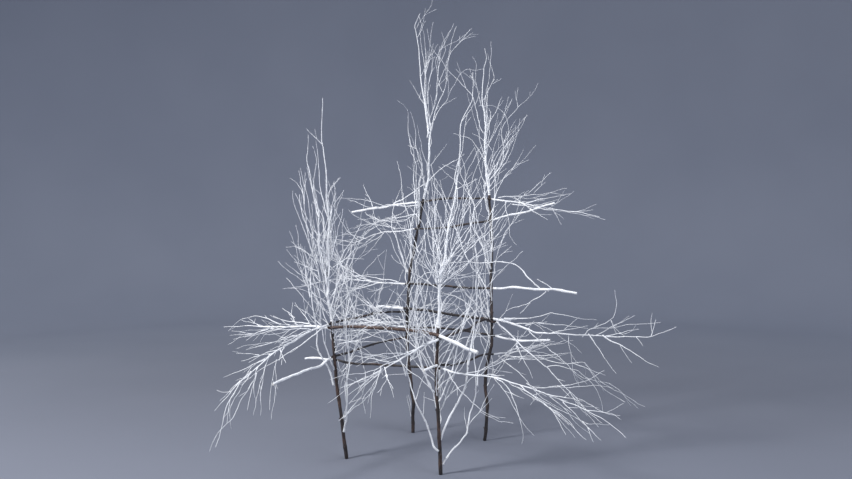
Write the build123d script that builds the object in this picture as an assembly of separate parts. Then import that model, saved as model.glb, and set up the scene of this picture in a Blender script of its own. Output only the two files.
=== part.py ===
from build123d import *
import math
import os

# Twig chair. Fifteen whole branches draw a side chair: two front legs, two back posts, four seat rails, four
# stretchers and three back rails. The length of each branch that draws the chair keeps its bark. Its butt end and
# its twiggy crown run on past the joints and are painted, so each branch is cut at its paint lines into a bark
# node, a butt node and a crown node that meet face to face. Rails lie against the legs in shallow saddle notches
# and are held by one wood screw each.
# Frame: millimetres, +Z up, -Y is the front, origin on the floor in the middle of the four feet.
# A bearing is counted from +X (0) towards +Y (90). A rise is the angle above the horizontal.

# ---------------------------------------------------------------- stance, mm
front_feet_apart = 364
back_feet_apart = 292
feet_depth = 421
front_shift = 8            # the front feet stand this far to +X of the middle
back_shift = -7            # the back feet stand this far from the middle
front_stagger = 10         # the left front foot stands this far ahead of the right one
back_stagger = 35          # the right back foot stands this far behind the left one

# ---------------------------------------------------------------- heights, mm
seat_height = 450          # axis of the front seat rail
seat_back_lift = 34        # the back seat rail meets the left post this much higher
stretcher_height = 340     # axis of the front stretcher at the right leg
back_stretcher_height = 402
middle_rail_height = 575
second_rail_height = 812
top_rail_height = 905
post_height = 920          # the back posts reach their paint lines near this height
rail_gap = 4               # clear wood between two rails that cross beside one leg

# ---------------------------------------------------------------- leans, mm
back_rake = 62             # the posts lean back this much above the seat
back_taper = 37            # and towards each other by this much each

# ---------------------------------------------------------------- diameters of the branches, mm
front_leg_diameter = 12.6  # at the foot
back_post_diameter = 13.0
front_rail_diameter = 11.0 # rails: at the joint nearer to the butt end
side_rail_diameter = 7.8
right_rail_diameter = 8.8
back_rail_diameter = 10.2
stretcher_diameter = 7.6
middle_rail_diameter = 8.6
second_rail_diameter = 7.4
top_rail_diameter = 8.0
tip_diameter = 1.8         # end of every crown leader
twig_tip_diameter = 1.4
seat_taper = 0.84          # a leg's diameter at the seat, as a share of its foot
crown_taper = 0.78         # and at the paint line, where its crown starts
far_taper = 0.90           # a rail's diameter at its second joint, as a share of the first
butt_swell = 1.10          # and at its butt end

# ---------------------------------------------------------------- joints and growth
notch_depth = 1.4          # saddle notch in a rail where it lies against a leg
paint_reach = 17           # from a joint to the paint line of its rail
screw_head_diameter = 4.2
screw_head_length = 1.3
screw_shank_diameter = 2.2
screw_point_length = 3.0
screw_sink = 0.8           # the head lies this far below the bark
screw_bite = 0.45          # the point passes the leg's axis by this share of its radius
twig_slenderness = 0.0085  # a twig's diameter grows with its length by this much
twig_base = 1.7            # the diameter of the shortest twigs
twig_share = 0.72          # a twig is no thicker than this share of its parent
node_spacing = 80          # between two nodes of a twig
node_kink = 4              # a twig turns by this many degrees, left and right, at its nodes
twig_clearance = 1.5       # clear air that a twig keeps to all other wood
swing_step = 7             # a twig that would hit something swings aside in steps of this many degrees


# ---------------------------------------------------------------- points as plain (x, y, z)
def plus(a, b, share=1.0):
    """The point a moved by a share of the vector b."""
    return (a[0] + b[0] * share, a[1] + b[1] * share, a[2] + b[2] * share)


def minus(a, b):
    return (a[0] - b[0], a[1] - b[1], a[2] - b[2])


def dot(a, b):
    return a[0] * b[0] + a[1] * b[1] + a[2] * b[2]


def size(a):
    return math.sqrt(dot(a, a))


def unit(a):
    return plus((0, 0, 0), a, 1 / size(a))


def between(a, b, share):
    return plus(a, minus(b, a), share)


def heading(bearing, rise):
    """The unit vector at a bearing and a rise."""
    turn, tilt = math.radians(bearing), math.radians(rise)
    return (math.cos(turn) * math.cos(tilt), math.sin(turn) * math.cos(tilt), math.sin(tilt))


def walk(start, steps):
    """The points reached from start by steps of (bearing, rise, length)."""
    points = []
    for bearing, rise, length in steps:
        start = plus(start, heading(bearing, rise), length)
        points.append(start)
    return points


def lengths_along(points):
    """The distance from the first point to each point, along the line."""
    total = [0.0]
    for a, b in zip(points, points[1:]):
        total.append(total[-1] + size(minus(b, a)))
    return total


def tapered(points, first, last):
    """A radius for each point, from the first radius to the last one evenly along the line."""
    along = lengths_along(points)
    return [first + (last - first) * distance / along[-1] for distance in along]


# ---------------------------------------------------------------- wood as solids
def round_sections(points, radii, flat_foot=False):
    """A circle on the bisecting plane of each bend. A flat foot is cut level."""
    sections = []
    across = (0, 0, 1) if abs(unit(minus(points[1], points[0]))[2]) < 0.7 else (1, 0, 0)
    for i, (point, radius) in enumerate(zip(points, radii)):
        along = (0, 0, 0)
        if i > 0:
            along = plus(along, unit(minus(point, points[i - 1])))
        if i < len(points) - 1:
            along = plus(along, unit(minus(points[i + 1], point)))
        if i == 0 and flat_foot:
            along = (0, 0, 1)
        along = unit(along)
        across = unit(plus(across, along, -dot(across, along)))
        sections.append(Wire.make_circle(radius, Plane(origin=point, x_dir=across, z_dir=along)))
    return sections


class Limb:
    """A length of wood along a line of points. before is the limb whose end it carries on from."""

    def __init__(self, name, points, radii, flat_foot=False, before=None):
        self.name = name
        self.points = points
        self.radii = radii
        self.before = before
        self.along = lengths_along(points)
        self.sections = round_sections(points, radii, flat_foot)

    def solid(self):
        return Solid.make_loft(self.sections, ruled=True)

    def piece(self, start, end):
        """The solid of the runs that reach into a stretch of its length."""
        first = max(i for i, at in enumerate(self.along) if at <= max(0, start))
        last = min([i for i, at in enumerate(self.along) if at >= end] + [len(self.along) - 1])
        return Solid.make_loft(self.sections[first:max(last, first + 1) + 1], ruled=True)

    def distance_at_height(self, height):
        """The distance along an upright at which it reaches a height."""
        for i in range(len(self.points) - 1):
            low, high = self.points[i][2], self.points[i + 1][2]
            if height <= high or i == len(self.points) - 2:
                return self.along[i] + (self.along[i + 1] - self.along[i]) * (height - low) / (high - low)

    def spot(self, distance):
        """Place, radius and direction at a distance along it."""
        for i in range(len(self.points) - 1):
            if distance <= self.along[i + 1] or i == len(self.points) - 2:
                part = (distance - self.along[i]) / (self.along[i + 1] - self.along[i])
                radius = self.radii[i] + (self.radii[i + 1] - self.radii[i]) * part
                direction = unit(minus(self.points[i + 1], self.points[i]))
                return between(self.points[i], self.points[i + 1], part), radius, direction


def biggest(shape):
    """The largest solid of a cut's result."""
    return max(shape.solids(), key=lambda solid: solid.volume)


# ---------------------------------------------------------------- wood as runs, to keep twigs apart
placed_runs = []           # (owner, start, end, start radius, end radius, low corner, high corner)


def add_runs(owner, points, radii):
    for a, b, ra, rb in zip(points, points[1:], radii, radii[1:]):
        reach = max(ra, rb) + twig_clearance
        low = tuple(min(p, q) - reach for p, q in zip(a, b))
        high = tuple(max(p, q) + reach for p, q in zip(a, b))
        placed_runs.append((owner, a, b, ra, rb, low, high))


def air_between(a0, a1, ra0, ra1, b0, b1, rb0, rb1):
    """Clear air between two tapering runs."""
    u, v, w = minus(a1, a0), minus(b1, b0), minus(a0, b0)
    uu, uv, vv, uw, vw = dot(u, u), dot(u, v), dot(v, v), dot(u, w), dot(v, w)
    spread = uu * vv - uv * uv
    s = min(1, max(0, (uv * vw - vv * uw) / spread)) if spread > 1e-9 * uu * vv else 0.0
    t = min(1, max(0, (uv * s + vw) / vv))
    s = min(1, max(0, (uv * t - uw) / uu))
    gap = size(minus(plus(a0, u, s), plus(b0, v, t)))
    return gap - (ra0 + (ra1 - ra0) * s) - (rb0 + (rb1 - rb0) * t)


def least_air(points, radii, parent):
    """The least clear air between a twig and all placed wood. Its own parent counts from its second run on."""
    least = 1e9
    for i in range(len(points) - 1):
        a, b, ra, rb = points[i], points[i + 1], radii[i], radii[i + 1]
        low = tuple(min(p, q) - ra for p, q in zip(a, b))
        high = tuple(max(p, q) + ra for p, q in zip(a, b))
        for owner, c, d, rc, rd, run_low, run_high in placed_runs:
            if owner == parent and i == 0:
                continue
            if all(low[k] <= run_high[k] and run_low[k] <= high[k] for k in range(3)):
                least = min(least, air_between(a, b, ra, rb, c, d, rc, rd))
        if least < 0:
            break
    return least


# ---------------------------------------------------------------- twigs
class Twig:
    """A twig that leaves its parent at a share of its length (or at a height, on a leg), with twigs of its own."""

    def __init__(self, at, steps, *forks):
        self.at = at
        self.steps = steps
        self.forks = forks


def arc(bearing, rise, length, bow=0):
    """Steps of a gently curved twig that starts bow degrees steeper and ends bow degrees flatter."""
    count = max(2, round(length / node_spacing))
    steps = []
    for i in range(count):
        share = (i + 0.5) / count
        kink = node_kink if i % 2 else -node_kink
        steps.append((bearing + kink, rise + bow * (1 - 2 * share), length / count))
    return steps


def swings():
    """Turns of bearing and rise to try, from none to a wide one."""
    yield 0, 0
    for count in range(1, 13):
        for turn, lift in ((1, 0), (-1, 0), (0, 1), (0, -1), (1, 1), (-1, -1)):
            yield turn * count * swing_step, lift * count * swing_step * 0.6


def grow(parent, twig, name):
    """The solids of a twig and of its forks, each coped to the wood that it grows from."""
    distance = parent.distance_at_height(twig.at) if twig.at > 1 else parent.along[-1] * twig.at
    base, radius, parent_direction = parent.spot(distance)
    total = sum(step[2] for step in twig.steps)
    start_radius = min(twig_share * radius, (twig_base + twig_slenderness * total) / 2)
    best = None
    for turn, lift in swings():
        steps = [(bearing + turn, rise + lift, length) for bearing, rise, length in twig.steps]
        points = [base] + walk(base, steps)
        radii = tapered(points, start_radius, min(start_radius, twig_tip_diameter / 2))
        # Only the wood outside the parent's bark can hit anything.
        slant = math.sqrt(max(0.04, 1 - dot(heading(*steps[0][:2]), parent_direction) ** 2))
        bare = min(0.6, radius / slant / steps[0][2])
        bare_points = [between(base, points[1], bare)] + points[1:]
        air = least_air(bare_points, radii, parent.name)
        if best is None or air > best[0]:
            best = (air, points, radii, bare_points, slant, turn, lift)
        if air >= twig_clearance:
            break
    air, points, radii, bare_points, slant, turn, lift = best
    if abs(turn) + abs(lift) > 3 * swing_step or air < twig_clearance:
        print(f"{name}: swung {turn}, lifted {lift:.0f}, clear by {min(air, 99):.1f} mm")
    add_runs(name, bare_points, radii)
    limb = Limb(name, points, radii)
    reach = 1.5 * (radius + start_radius) / slant
    cutters = [parent.piece(distance - reach / 2, distance + reach)]
    if parent.before and distance < reach / 2:
        cutters.append(parent.before.piece(parent.before.along[-1] - reach, parent.before.along[-1]))
    solids = [biggest(limb.solid() - cutters)]
    for number, fork in enumerate(twig.forks):
        solids += grow(limb, fork, f"{name}.{number}")
    return solids


# ---------------------------------------------------------------- crowns of the legs and posts
# steps are (bearing, rise, length)
front_left_crown = [(210, 84, 90), (200, 88, 130), (60, 88, 100), (220, 88, 100), (225, 87, 125), (212, 76, 74),
                    (20, 87, 150)]
front_left_crown_twigs = [
    Twig(0.02, arc(215, 46, 265, 6)),
    Twig(0.05, arc(205, 78, 500, -9),
         Twig(0.35, arc(210, 72, 260, -6)),
         Twig(0.22, arc(215, 42, 120)),
         Twig(0.27, arc(195, 20, 100, 6)),
         Twig(0.17, arc(225, -4, 140, 20)),
         Twig(0.75, arc(190, 80, 120))),
    Twig(0.08, arc(250, 82, 540, -4),
         Twig(0.55, arc(228, 76, 170)),
         Twig(0.30, arc(290, 68, 200, -6))),
    Twig(0.12, arc(300, 80, 400, -6),
         Twig(0.50, arc(330, 68, 150))),
    Twig(0.15, arc(120, 76, 380, -6),
         Twig(0.50, arc(100, 66, 150))),
    Twig(0.19, arc(80, 73, 300, -8)),
    Twig(0.27, arc(20, 72, 190, -22)),
    Twig(0.46, arc(205, 80, 270, -6)),
    Twig(0.79, arc(210, 47, 75)),
    Twig(0.035, arc(345, 76, 330, -6),
         Twig(0.45, arc(10, 62, 120))),
    Twig(0.10, arc(30, 62, 190, -12)),
]

front_right_crown = [(30, 87, 155), (30, 81, 152), (35, 78, 127), (20, 86, 147), (30, 85, 74), (30, 66, 80),
                     (30, 88, 90)]
front_right_crown_twigs = [
    Twig(0.148, arc(205, 28, 110, -5)),
    Twig(0.156, arc(222, 58, 230, -8),
         Twig(0.55, arc(195, 72, 120))),
    Twig(0.168, arc(180, 81, 270, -4),
         Twig(0.60, arc(230, 66, 110))),
    Twig(0.186, arc(40, 72, 330, -4),
         Twig(0.60, arc(10, 58, 120))),
    Twig(0.160, arc(20, 48, 300, -20),
         Twig(0.50, arc(45, 24, 110, -8))),
    Twig(0.172, arc(330, 48, 180, -20)),
    Twig(0.182, arc(295, 62, 260, -10),
         Twig(0.50, arc(325, 54, 110))),
    Twig(0.152, arc(120, 58, 280, -12),
         Twig(0.50, arc(140, 40, 110, -6))),
    Twig(0.164, arc(258, 54, 220, -12)),
    Twig(0.176, arc(75, 64, 290, -8),
         Twig(0.45, arc(55, 50, 110))),
    Twig(0.22, arc(150, 76, 320, -5)),
    Twig(0.30, arc(60, 78, 300, -4)),
    Twig(0.36, arc(215, 66, 130)),
    Twig(0.45, arc(205, 64, 120)),
    Twig(0.54, arc(20, 24, 75, -8)),
]

back_left_crown = [(30, 78, 77), (30, 86, 91), (210, 86, 88), (210, 83, 92), (210, 82, 144), (210, 87, 107),
                   (210, 79, 81), (30, 70, 60)]
back_left_crown_twigs = [
    Twig(0.28, [(30, 79, 96), (30, 77, 118), (30, 74, 66), (30, 82, 58), (30, 63, 65), (30, 43, 48), (30, 20, 55)],
         Twig(0.20, [(30, 46, 43), (30, 66, 63), (30, 77, 48), (30, 58, 50), (30, 27, 41), (30, -8, 37),
                     (30, 20, 40)]),
         Twig(0.43, [(210, 74, 43), (210, 87, 63), (30, 76, 54), (30, 48, 35), (30, 34, 57), (30, 42, 67)],
              Twig(0.55, arc(30, 66, 60))),
         Twig(0.80, arc(35, 52, 100, -6)),
         Twig(0.88, arc(40, 36, 60))),
    Twig(0.31, [(350, 84, 180), (30, 76, 120), (40, 64, 70), (210, 70, 80)],
         Twig(0.60, arc(330, 70, 110, -6))),
    Twig(0.34, [(120, 82, 200), (210, 80, 120), (210, 84, 100), (30, 70, 90)],
         Twig(0.50, arc(90, 64, 140))),
    Twig(0.37, arc(95, 80, 400, -4),
         Twig(0.55, arc(120, 62, 120))),
    Twig(0.24, arc(300, 78, 380, -5),
         Twig(0.50, arc(280, 66, 150)),
         Twig(0.70, arc(330, 70, 110))),
    Twig(0.50, arc(212, 58, 115)),
    Twig(0.86, arc(40, 62, 80, -12)),
    Twig(0.91, [(30, 44, 55), (30, 62, 60), (80, 86, 70)]),
    Twig(0.030, arc(192, 82, 175, -4),
         Twig(0.30, arc(210, 38, 80))),
    Twig(0.055, arc(205, 52, 125)),
    Twig(0.17, arc(30, 50, 115, -10)),
    Twig(0.66, arc(60, 60, 120, -6)),
    Twig(0.14, arc(260, 68, 190, -6)),
]

back_right_crown = [(210, 85, 120), (210, 88, 119), (210, 85, 112), (30, 88, 94), (40, 86, 41), (30, 75, 33),
                    (210, 80, 44)]
back_right_crown_twigs = [
    Twig(0.60, [(210, 60, 45), (210, 78, 60), (30, 84, 70), (210, 65, 30)],
         Twig(0.40, arc(240, 66, 70))),
    Twig(0.64, [(30, 50, 50), (20, 76, 45), (210, 74, 65), (200, 80, 40)],
         Twig(0.35, arc(30, 34, 40))),
    Twig(0.42, [(210, 64, 60), (210, 78, 90), (210, 46, 60), (210, 42, 80), (210, 62, 60), (210, 45, 60),
                (200, 72, 60)],
         Twig(0.40, arc(250, 62, 110))),
    Twig(0.46, arc(30, 56, 125, -5),
         Twig(0.50, arc(0, 66, 60))),
    Twig(0.31, arc(35, 60, 220, -5),
         Twig(0.60, arc(60, 76, 90))),
    Twig(0.050, [(30, 70, 48), (30, 58, 48), (30, 81, 62), (30, 86, 66), (30, 55, 62), (30, 52, 45), (30, 43, 52),
                 (30, 58, 68)],
         Twig(0.73, arc(200, 80, 70)),
         Twig(0.40, arc(60, 56, 110, -8))),
    Twig(0.022, [(24, 38, 83), (34, 45, 58), (28, 48, 61), (32, 49, 48)],
         Twig(0.50, arc(0, 62, 90))),
    Twig(0.085, [(16, 46, 100), (30, 58, 60), (30, 60, 60), (60, 84, 56)],
         Twig(0.45, arc(350, 70, 100))),
    Twig(0.15, arc(120, 72, 320, -6),
         Twig(0.50, arc(95, 60, 120))),
    Twig(0.20, arc(300, 74, 300, -6),
         Twig(0.50, arc(280, 60, 110))),
    Twig(0.11, arc(330, 64, 250, -8)),
    Twig(0.25, arc(245, 70, 250, -5)),
    Twig(0.04, arc(212, 70, 180, -6)),
    Twig(0.27, arc(50, 80, 170, -5)),
]

# ---------------------------------------------------------------- crowns and butts of the seat rails
front_rail_butt = [(358, -14, 45), (0, -19, 108)]
front_rail_crown = [(184, -3, 120), (178, -2, 130), (180, -2, 120), (182, -5, 130)]
front_rail_twigs = [
    Twig(0.04, [(192, 42, 60), (200, 34, 70)]),
    Twig(0.09, [(176, 28, 70), (170, 54, 65)]),
    Twig(0.13, [(180, 20, 60), (180, 3, 140)]),
    Twig(0.40, [(190, 28, 60), (182, 8, 70), (185, -12, 60), (180, -36, 85)]),
    Twig(0.46, [(186, -22, 60), (182, -8, 70), (180, 2, 85)],
         Twig(0.55, arc(210, -4, 80))),
    Twig(0.30, arc(216, -10, 170, 5)),
    Twig(0.25, arc(142, 12, 190, 4),
         Twig(0.50, arc(165, 20, 90))),
    Twig(0.62, arc(160, 12, 110)),
    Twig(0.17, arc(232, 10, 160, 6)),
    Twig(0.20, arc(196, -26, 120, -8)),
]

left_rail_butt = [(88, 4, 60), (92, 0, 90)]
left_rail_crown = [(268, -10, 142), (270, -15, 143), (269, -24, 160), (270, -50, 86), (272, -66, 118)]
left_rail_twigs = [
    Twig(0.035, [(240, -32, 110), (243, -30, 120), (238, -24, 110)],
         Twig(0.55, [(272, -60, 60), (292, -82, 60), (300, -60, 50)]),
         Twig(0.80, [(262, -74, 90), (280, -60, 30)])),
    Twig(0.20, arc(238, -10, 165, 4)),
    Twig(0.13, arc(252, 4, 260, 12),
         Twig(0.60, arc(236, -12, 120))),
    Twig(0.40, arc(236, -12, 120, 3),
         Twig(0.50, arc(220, 4, 70))),
    Twig(0.50, arc(228, -22, 130, 4)),
    Twig(0.60, arc(238, -38, 125, 6)),
    Twig(0.68, arc(248, -44, 115, 4)),
    Twig(0.45, [(282, -46, 80), (286, -76, 60), (288, -84, 60)]),
    Twig(0.56, [(276, -50, 90), (264, -52, 80), (246, -45, 60), (268, -58, 50)]),
    Twig(0.33, arc(302, -8, 170, 6),
         Twig(0.50, arc(325, -20, 80))),
    Twig(0.26, arc(286, 8, 140)),
    Twig(0.78, arc(296, -64, 70)),
]
left_rail_shoots = [
    Twig(0.66, arc(196, 75, 330, -8),
         Twig(0.42, arc(214, 46, 120)),
         Twig(0.62, arc(232, 58, 90))),
    Twig(0.40, arc(330, 72, 250, -6)),
    Twig(0.84, arc(170, 50, 150, -12)),
]

right_rail_butt = [(84, 1, 70), (80, -2, 90)]
right_rail_crown = [(272, -6, 150), (268, -9, 150), (238, -36, 100), (226, -46, 60)]
right_rail_twigs = [
    Twig(0.645, [(245, -34, 60), (280, -72, 50), (284, -84, 60)]),
    Twig(0.665, [(225, 5, 65), (215, -16, 50), (220, -58, 45)]),
    Twig(0.63, [(207, 32, 60), (213, -8, 45), (216, -52, 65)]),
    Twig(0.685, arc(212, -18, 140, 5),
         Twig(0.45, arc(190, -30, 70))),
    Twig(0.615, arc(268, 6, 120, 10)),
    Twig(0.7, arc(262, -30, 120, 5)),
    Twig(0.655, arc(296, -14, 130, 6),
         Twig(0.50, arc(320, -26, 70))),
    Twig(0.32, arc(225, -12, 150, 5)),
    Twig(0.20, arc(310, 16, 150, 10)),
    Twig(0.42, arc(292, 24, 120, 8)),
]

back_rail_butt = [(182, 3, 60), (176, -2, 80)]
back_rail_crown = [(359, -4, 40), (359, -15, 140), (0, 0, 180), (1, 1, 158), (2, 3, 66), (0, 24, 102)]
back_rail_twigs = [
    Twig(0.027, [(352, -50, 100), (0, -38, 110), (2, -33, 66), (0, -45, 54), (0, -36, 68), (356, -22, 46),
                 (0, -13, 78), (0, 30, 66)],
         Twig(0.44, [(0, 6, 62), (0, -2, 50), (0, -42, 66), (0, -50, 46), (0, -72, 50)]),
         Twig(0.20, arc(346, -60, 130, -6)),
         Twig(0.62, arc(10, -52, 100, -6))),
    Twig(0.06, [(15, 30, 60), (2, 3, 120), (0, -3, 110), (0, -12, 70)]),
    Twig(0.13, arc(342, 10, 150, 8)),
    Twig(0.18, [(16, 20, 70), (5, -2, 90), (0, -8, 80)]),
    Twig(0.42, [(20, -66, 90), (200, -80, 50), (25, -60, 60)]),
    Twig(0.50, [(10, 22, 95), (10, 45, 40), (60, 80, 50), (150, 74, 40)],
         Twig(0.55, arc(330, -60, 50))),
    Twig(0.53, [(352, -34, 80), (2, -60, 90)]),
    Twig(0.61, [(355, -20, 100), (2, -29, 115)]),
    Twig(0.63, arc(14, 12, 120, 4)),
    Twig(0.86, arc(20, 72, 60, -6)),
    Twig(0.34, arc(40, 8, 140, 6)),
]

# ---------------------------------------------------------------- crowns and butts of the stretchers
front_stretcher_butt = [(181, -2, 60), (180, -4, 74)]
front_stretcher_crown = [(0, -4, 220), (1, -11, 148), (0, -14, 110), (358, -20, 70), (0, -36, 85)]
front_stretcher_twigs = [
    Twig(0.035, [(338, -43, 58), (345, -38, 80), (350, -24, 46), (0, -14, 58)],
         Twig(0.70, [(350, -42, 35), (5, -16, 42), (0, 2, 52)])),
    Twig(0.30, [(350, -52, 52), (354, -54, 70), (0, -52, 46), (5, -44, 34)]),
    Twig(0.36, [(12, -24, 150), (2, -24, 120), (10, -2, 70)],
         Twig(0.45, [(350, -60, 70), (10, -40, 50)]),
         Twig(0.75, arc(345, -34, 80))),
    Twig(0.44, arc(338, -22, 230, 6),
         Twig(0.50, arc(355, -36, 90))),
    Twig(0.50, arc(16, 3, 240, 8)),
    Twig(0.66, arc(2, -44, 110, -6)),
    Twig(0.14, arc(30, 14, 260, 10),
         Twig(0.50, arc(50, 0, 100))),
    Twig(0.22, arc(322, 10, 170, 8)),
    Twig(0.78, arc(22, -8, 100)),
    Twig(0.58, arc(350, -2, 120, 5)),
]

left_stretcher_butt = [(271, -18, 71), (268, 0, 53), (271, -6, 94), (270, -8, 92)]
left_stretcher_crown = [(90, 6, 120), (84, 8, 110), (93, 3, 110)]
left_stretcher_twigs = [
    Twig(0.06, arc(130, 34, 180, 6)),
    Twig(0.22, arc(60, 24, 190, 8),
         Twig(0.50, arc(80, 44, 80))),
    Twig(0.38, arc(120, -12, 170, 5)),
    Twig(0.55, arc(72, 36, 130, 5)),
    Twig(0.70, arc(112, 14, 110)),
]

right_stretcher_butt = [(268, 0, 45), (272, -3, 50)]
right_stretcher_crown = [(80, -4, 110), (70, 3, 110), (76, 5, 110)]
right_stretcher_twigs = [
    Twig(0.06, [(10, -15, 90), (0, 12, 90), (0, -2, 150), (0, -44, 130), (0, -28, 65)],
         Twig(0.55, arc(16, -20, 130, 5)),
         Twig(0.30, arc(350, 14, 150, 12))),
    Twig(0.12, [(350, -44, 110), (5, -32, 110), (0, -36, 90)],
         Twig(0.50, arc(340, -20, 100, 5))),
    Twig(0.28, arc(40, 12, 200, 10)),
    Twig(0.45, arc(110, 24, 160, 6)),
    Twig(0.60, arc(50, -14, 150, 4)),
]

back_stretcher_butt = [(358, -7, 120), (2, 6, 110)]
back_stretcher_crown = [(181, 4, 120), (176, 5, 120), (180, 2, 110)]
back_stretcher_twigs = [
    Twig(0.06, arc(205, 34, 190, 10)),
    Twig(0.20, arc(160, 26, 200, 8),
         Twig(0.50, arc(175, 40, 80))),
    Twig(0.36, arc(200, -22, 150, -6)),
    Twig(0.52, arc(188, 26, 120)),
    Twig(0.68, arc(166, -8, 110)),
]

# ---------------------------------------------------------------- crowns and butts of the back rails
middle_rail_butt = [(0, 2, 190), (358, 0, 60), (1, -10, 53), (2, -7, 35)]
middle_rail_butt_twigs = [
    Twig(0.56, [(176, 42, 46), (180, 37, 44), (178, 30, 46), (182, 13, 48), (180, 1, 48), (180, 0, 68),
                (180, -8, 90)]),
    Twig(0.63, [(184, -54, 44), (182, -32, 46), (180, -20, 95)],
         Twig(0.40, arc(176, -44, 60))),
    Twig(0.74, [(178, 24, 42), (182, 32, 36)]),
]
middle_rail_crown = [(181, 1, 130), (178, 3, 130), (183, -3, 130)]
middle_rail_twigs = [
    Twig(0.07, [(190, 16, 90), (184, 5, 90), (186, -8, 80)]),
    Twig(0.16, arc(162, -16, 170, -6)),
    Twig(0.27, arc(205, -14, 190, 5),
         Twig(0.50, arc(222, -2, 80))),
    Twig(0.42, arc(170, 12, 160, 8)),
    Twig(0.55, arc(196, 10, 120)),
    Twig(0.70, arc(190, -28, 90, -8)),
]

second_rail_butt = [(2, 12, 90), (0, 14, 175)]
second_rail_butt_twigs = [
    Twig(0.62, arc(172, 36, 90, 8)),
]
second_rail_crown = [(180, -6, 165), (178, -14, 150), (182, 4, 115)]
second_rail_twigs = [
    Twig(0.08, [(195, 20, 60), (182, 2, 110), (180, -14, 90)],
         Twig(0.50, arc(200, -30, 80))),
    Twig(0.20, [(170, 44, 50), (176, 20, 80), (180, -6, 90)]),
    Twig(0.34, arc(204, -32, 130, -8)),
    Twig(0.45, arc(172, -28, 170, -4)),
    Twig(0.58, arc(200, 14, 110, 6)),
    Twig(0.70, arc(190, -34, 90, -8)),
]

top_rail_butt = [(182, -3, 110), (179, -7, 230)]
top_rail_butt_twigs = [
    Twig(0.35, [(8, 40, 70), (2, 28, 95), (0, 32, 95), (2, 32, 100)]),
]
top_rail_crown = [(0, -8, 120), (1, -12, 125), (0, -8, 110), (358, -12, 85)]
top_rail_twigs = [
    Twig(0.05, [(8, 12, 110), (2, -2, 110), (0, -14, 45)],
         Twig(0.55, arc(12, 46, 60))),
    Twig(0.50, [(2, 16, 80), (4, 44, 55)]),
    Twig(0.20, [(348, -22, 70), (0, -4, 130)],
         Twig(0.45, arc(345, -30, 90))),
    Twig(0.56, [(358, -38, 45), (350, -78, 35)]),
    Twig(0.32, arc(24, 12, 170, 6)),
    Twig(0.14, [(300, -66, 90), (330, -72, 50), (0, -55, 50)]),
    Twig(0.40, arc(335, 6, 130, 5)),
    Twig(0.72, arc(12, 2, 90)),
]

# ---------------------------------------------------------------- long shoots from the bark of the legs
front_left_shoots = [
    Twig(92, [(330, 55, 60), (345, 84, 160), (220, 88, 180), (330, 88, 150), (20, 84, 110)],
         Twig(0.62, arc(10, 80, 170)),
         Twig(0.45, arc(290, 72, 150))),
    Twig(142, [(20, 30, 50), (20, 62, 60), (30, 80, 80), (200, 82, 110), (215, 84, 110)]),
    Twig(118, [(110, 50, 60), (95, 80, 140), (80, 86, 160), (60, 84, 130)],
         Twig(0.60, arc(30, 78, 160))),
    Twig(250, [(215, 50, 70), (212, 72, 70), (205, 86, 120), (215, 87, 140), (195, 84, 140), (220, 80, 110)],
         Twig(0.50, arc(235, 74, 190, -6))),
    Twig(300, arc(255, 74, 420, -12),
         Twig(0.45, arc(280, 66, 150))),
]
front_right_shoots = [
    Twig(34, [(30, 43, 69), (30, 60, 73), (26, 77, 91), (40, 87, 94), (200, 84, 105), (30, 76, 108), (35, 84, 105)],
         Twig(0.45, arc(60, 70, 190, -8))),
    Twig(72, [(222, 61, 99), (205, 66, 92), (215, 70, 89), (60, 82, 116), (15, 81, 106), (40, 72, 110)],
         Twig(0.42, arc(235, 72, 180, -8))),
    Twig(108, [(30, 66, 109), (24, 70, 122), (36, 80, 117), (30, 83, 105), (10, 85, 105), (205, 87, 105),
               (30, 81, 106), (215, 77, 96)],
         Twig(0.30, arc(350, 74, 200, -6)),
         Twig(0.55, arc(70, 76, 210, -6))),
    Twig(150, arc(120, 68, 330, -16)),
    Twig(203, [(212, 70, 65), (215, 67, 68), (205, 84, 95), (40, 84, 105), (212, 84, 105), (216, 76, 86)],
         Twig(0.50, arc(180, 72, 150))),
    Twig(232, [(20, 58, 75), (34, 68, 70), (20, 80, 110), (40, 76, 120), (10, 86, 100)],
         Twig(0.50, arc(340, 70, 140))),
    Twig(262, [(235, 52, 60), (220, 66, 80), (240, 86, 120), (200, 82, 110)]),
]
back_left_shoots = [
    Twig(45, arc(190, 76, 100, -8)),
    Twig(122, arc(30, 68, 130, -8)),
    Twig(620, arc(200, 70, 200, -14)),
    Twig(700, arc(280, 56, 160, -10)),
    Twig(868, [(206, -34, 60), (184, 0, 100), (178, -8, 60), (190, -26, 80)]),
    Twig(882, [(186, 8, 130), (180, -3, 130), (172, 14, 90)],
         Twig(0.62, arc(170, 58, 100, -8))),
]
back_right_shoots = [
    Twig(200, arc(20, 58, 130, -10)),
    Twig(672, arc(30, 38, 100, -24)),
    Twig(748, arc(28, 54, 110, -6)),
    Twig(640, arc(300, 60, 170, -10)),
]

# ---------------------------------------------------------------- the frame's lines
sides = {"front": (0, -1, 0), "back": (0, 1, 0), "left": (-1, 0, 0), "right": (1, 0, 0)}


def upright(foot, seat, seat_z, low_bows, crown, top=None, top_bows=()):
    """Points of a leg or post up to its paint line. A bow is (share of the way, x, y) off the straight line."""
    foot_point = (foot[0], foot[1], 0)
    seat_point = (seat[0], seat[1], seat_z)
    points = [foot_point]
    for share, x, y in low_bows:
        points.append(plus(between(foot_point, seat_point, share), (x, y, 0)))
    points.append(seat_point)
    for share, x, y in top_bows:
        points.append(plus(between(seat_point, top, share), (x, y, 0)))
    if top:
        points.append(top)
    return points + walk(points[-1], [(crown[0][0], crown[0][1], paint_reach)])


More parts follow.
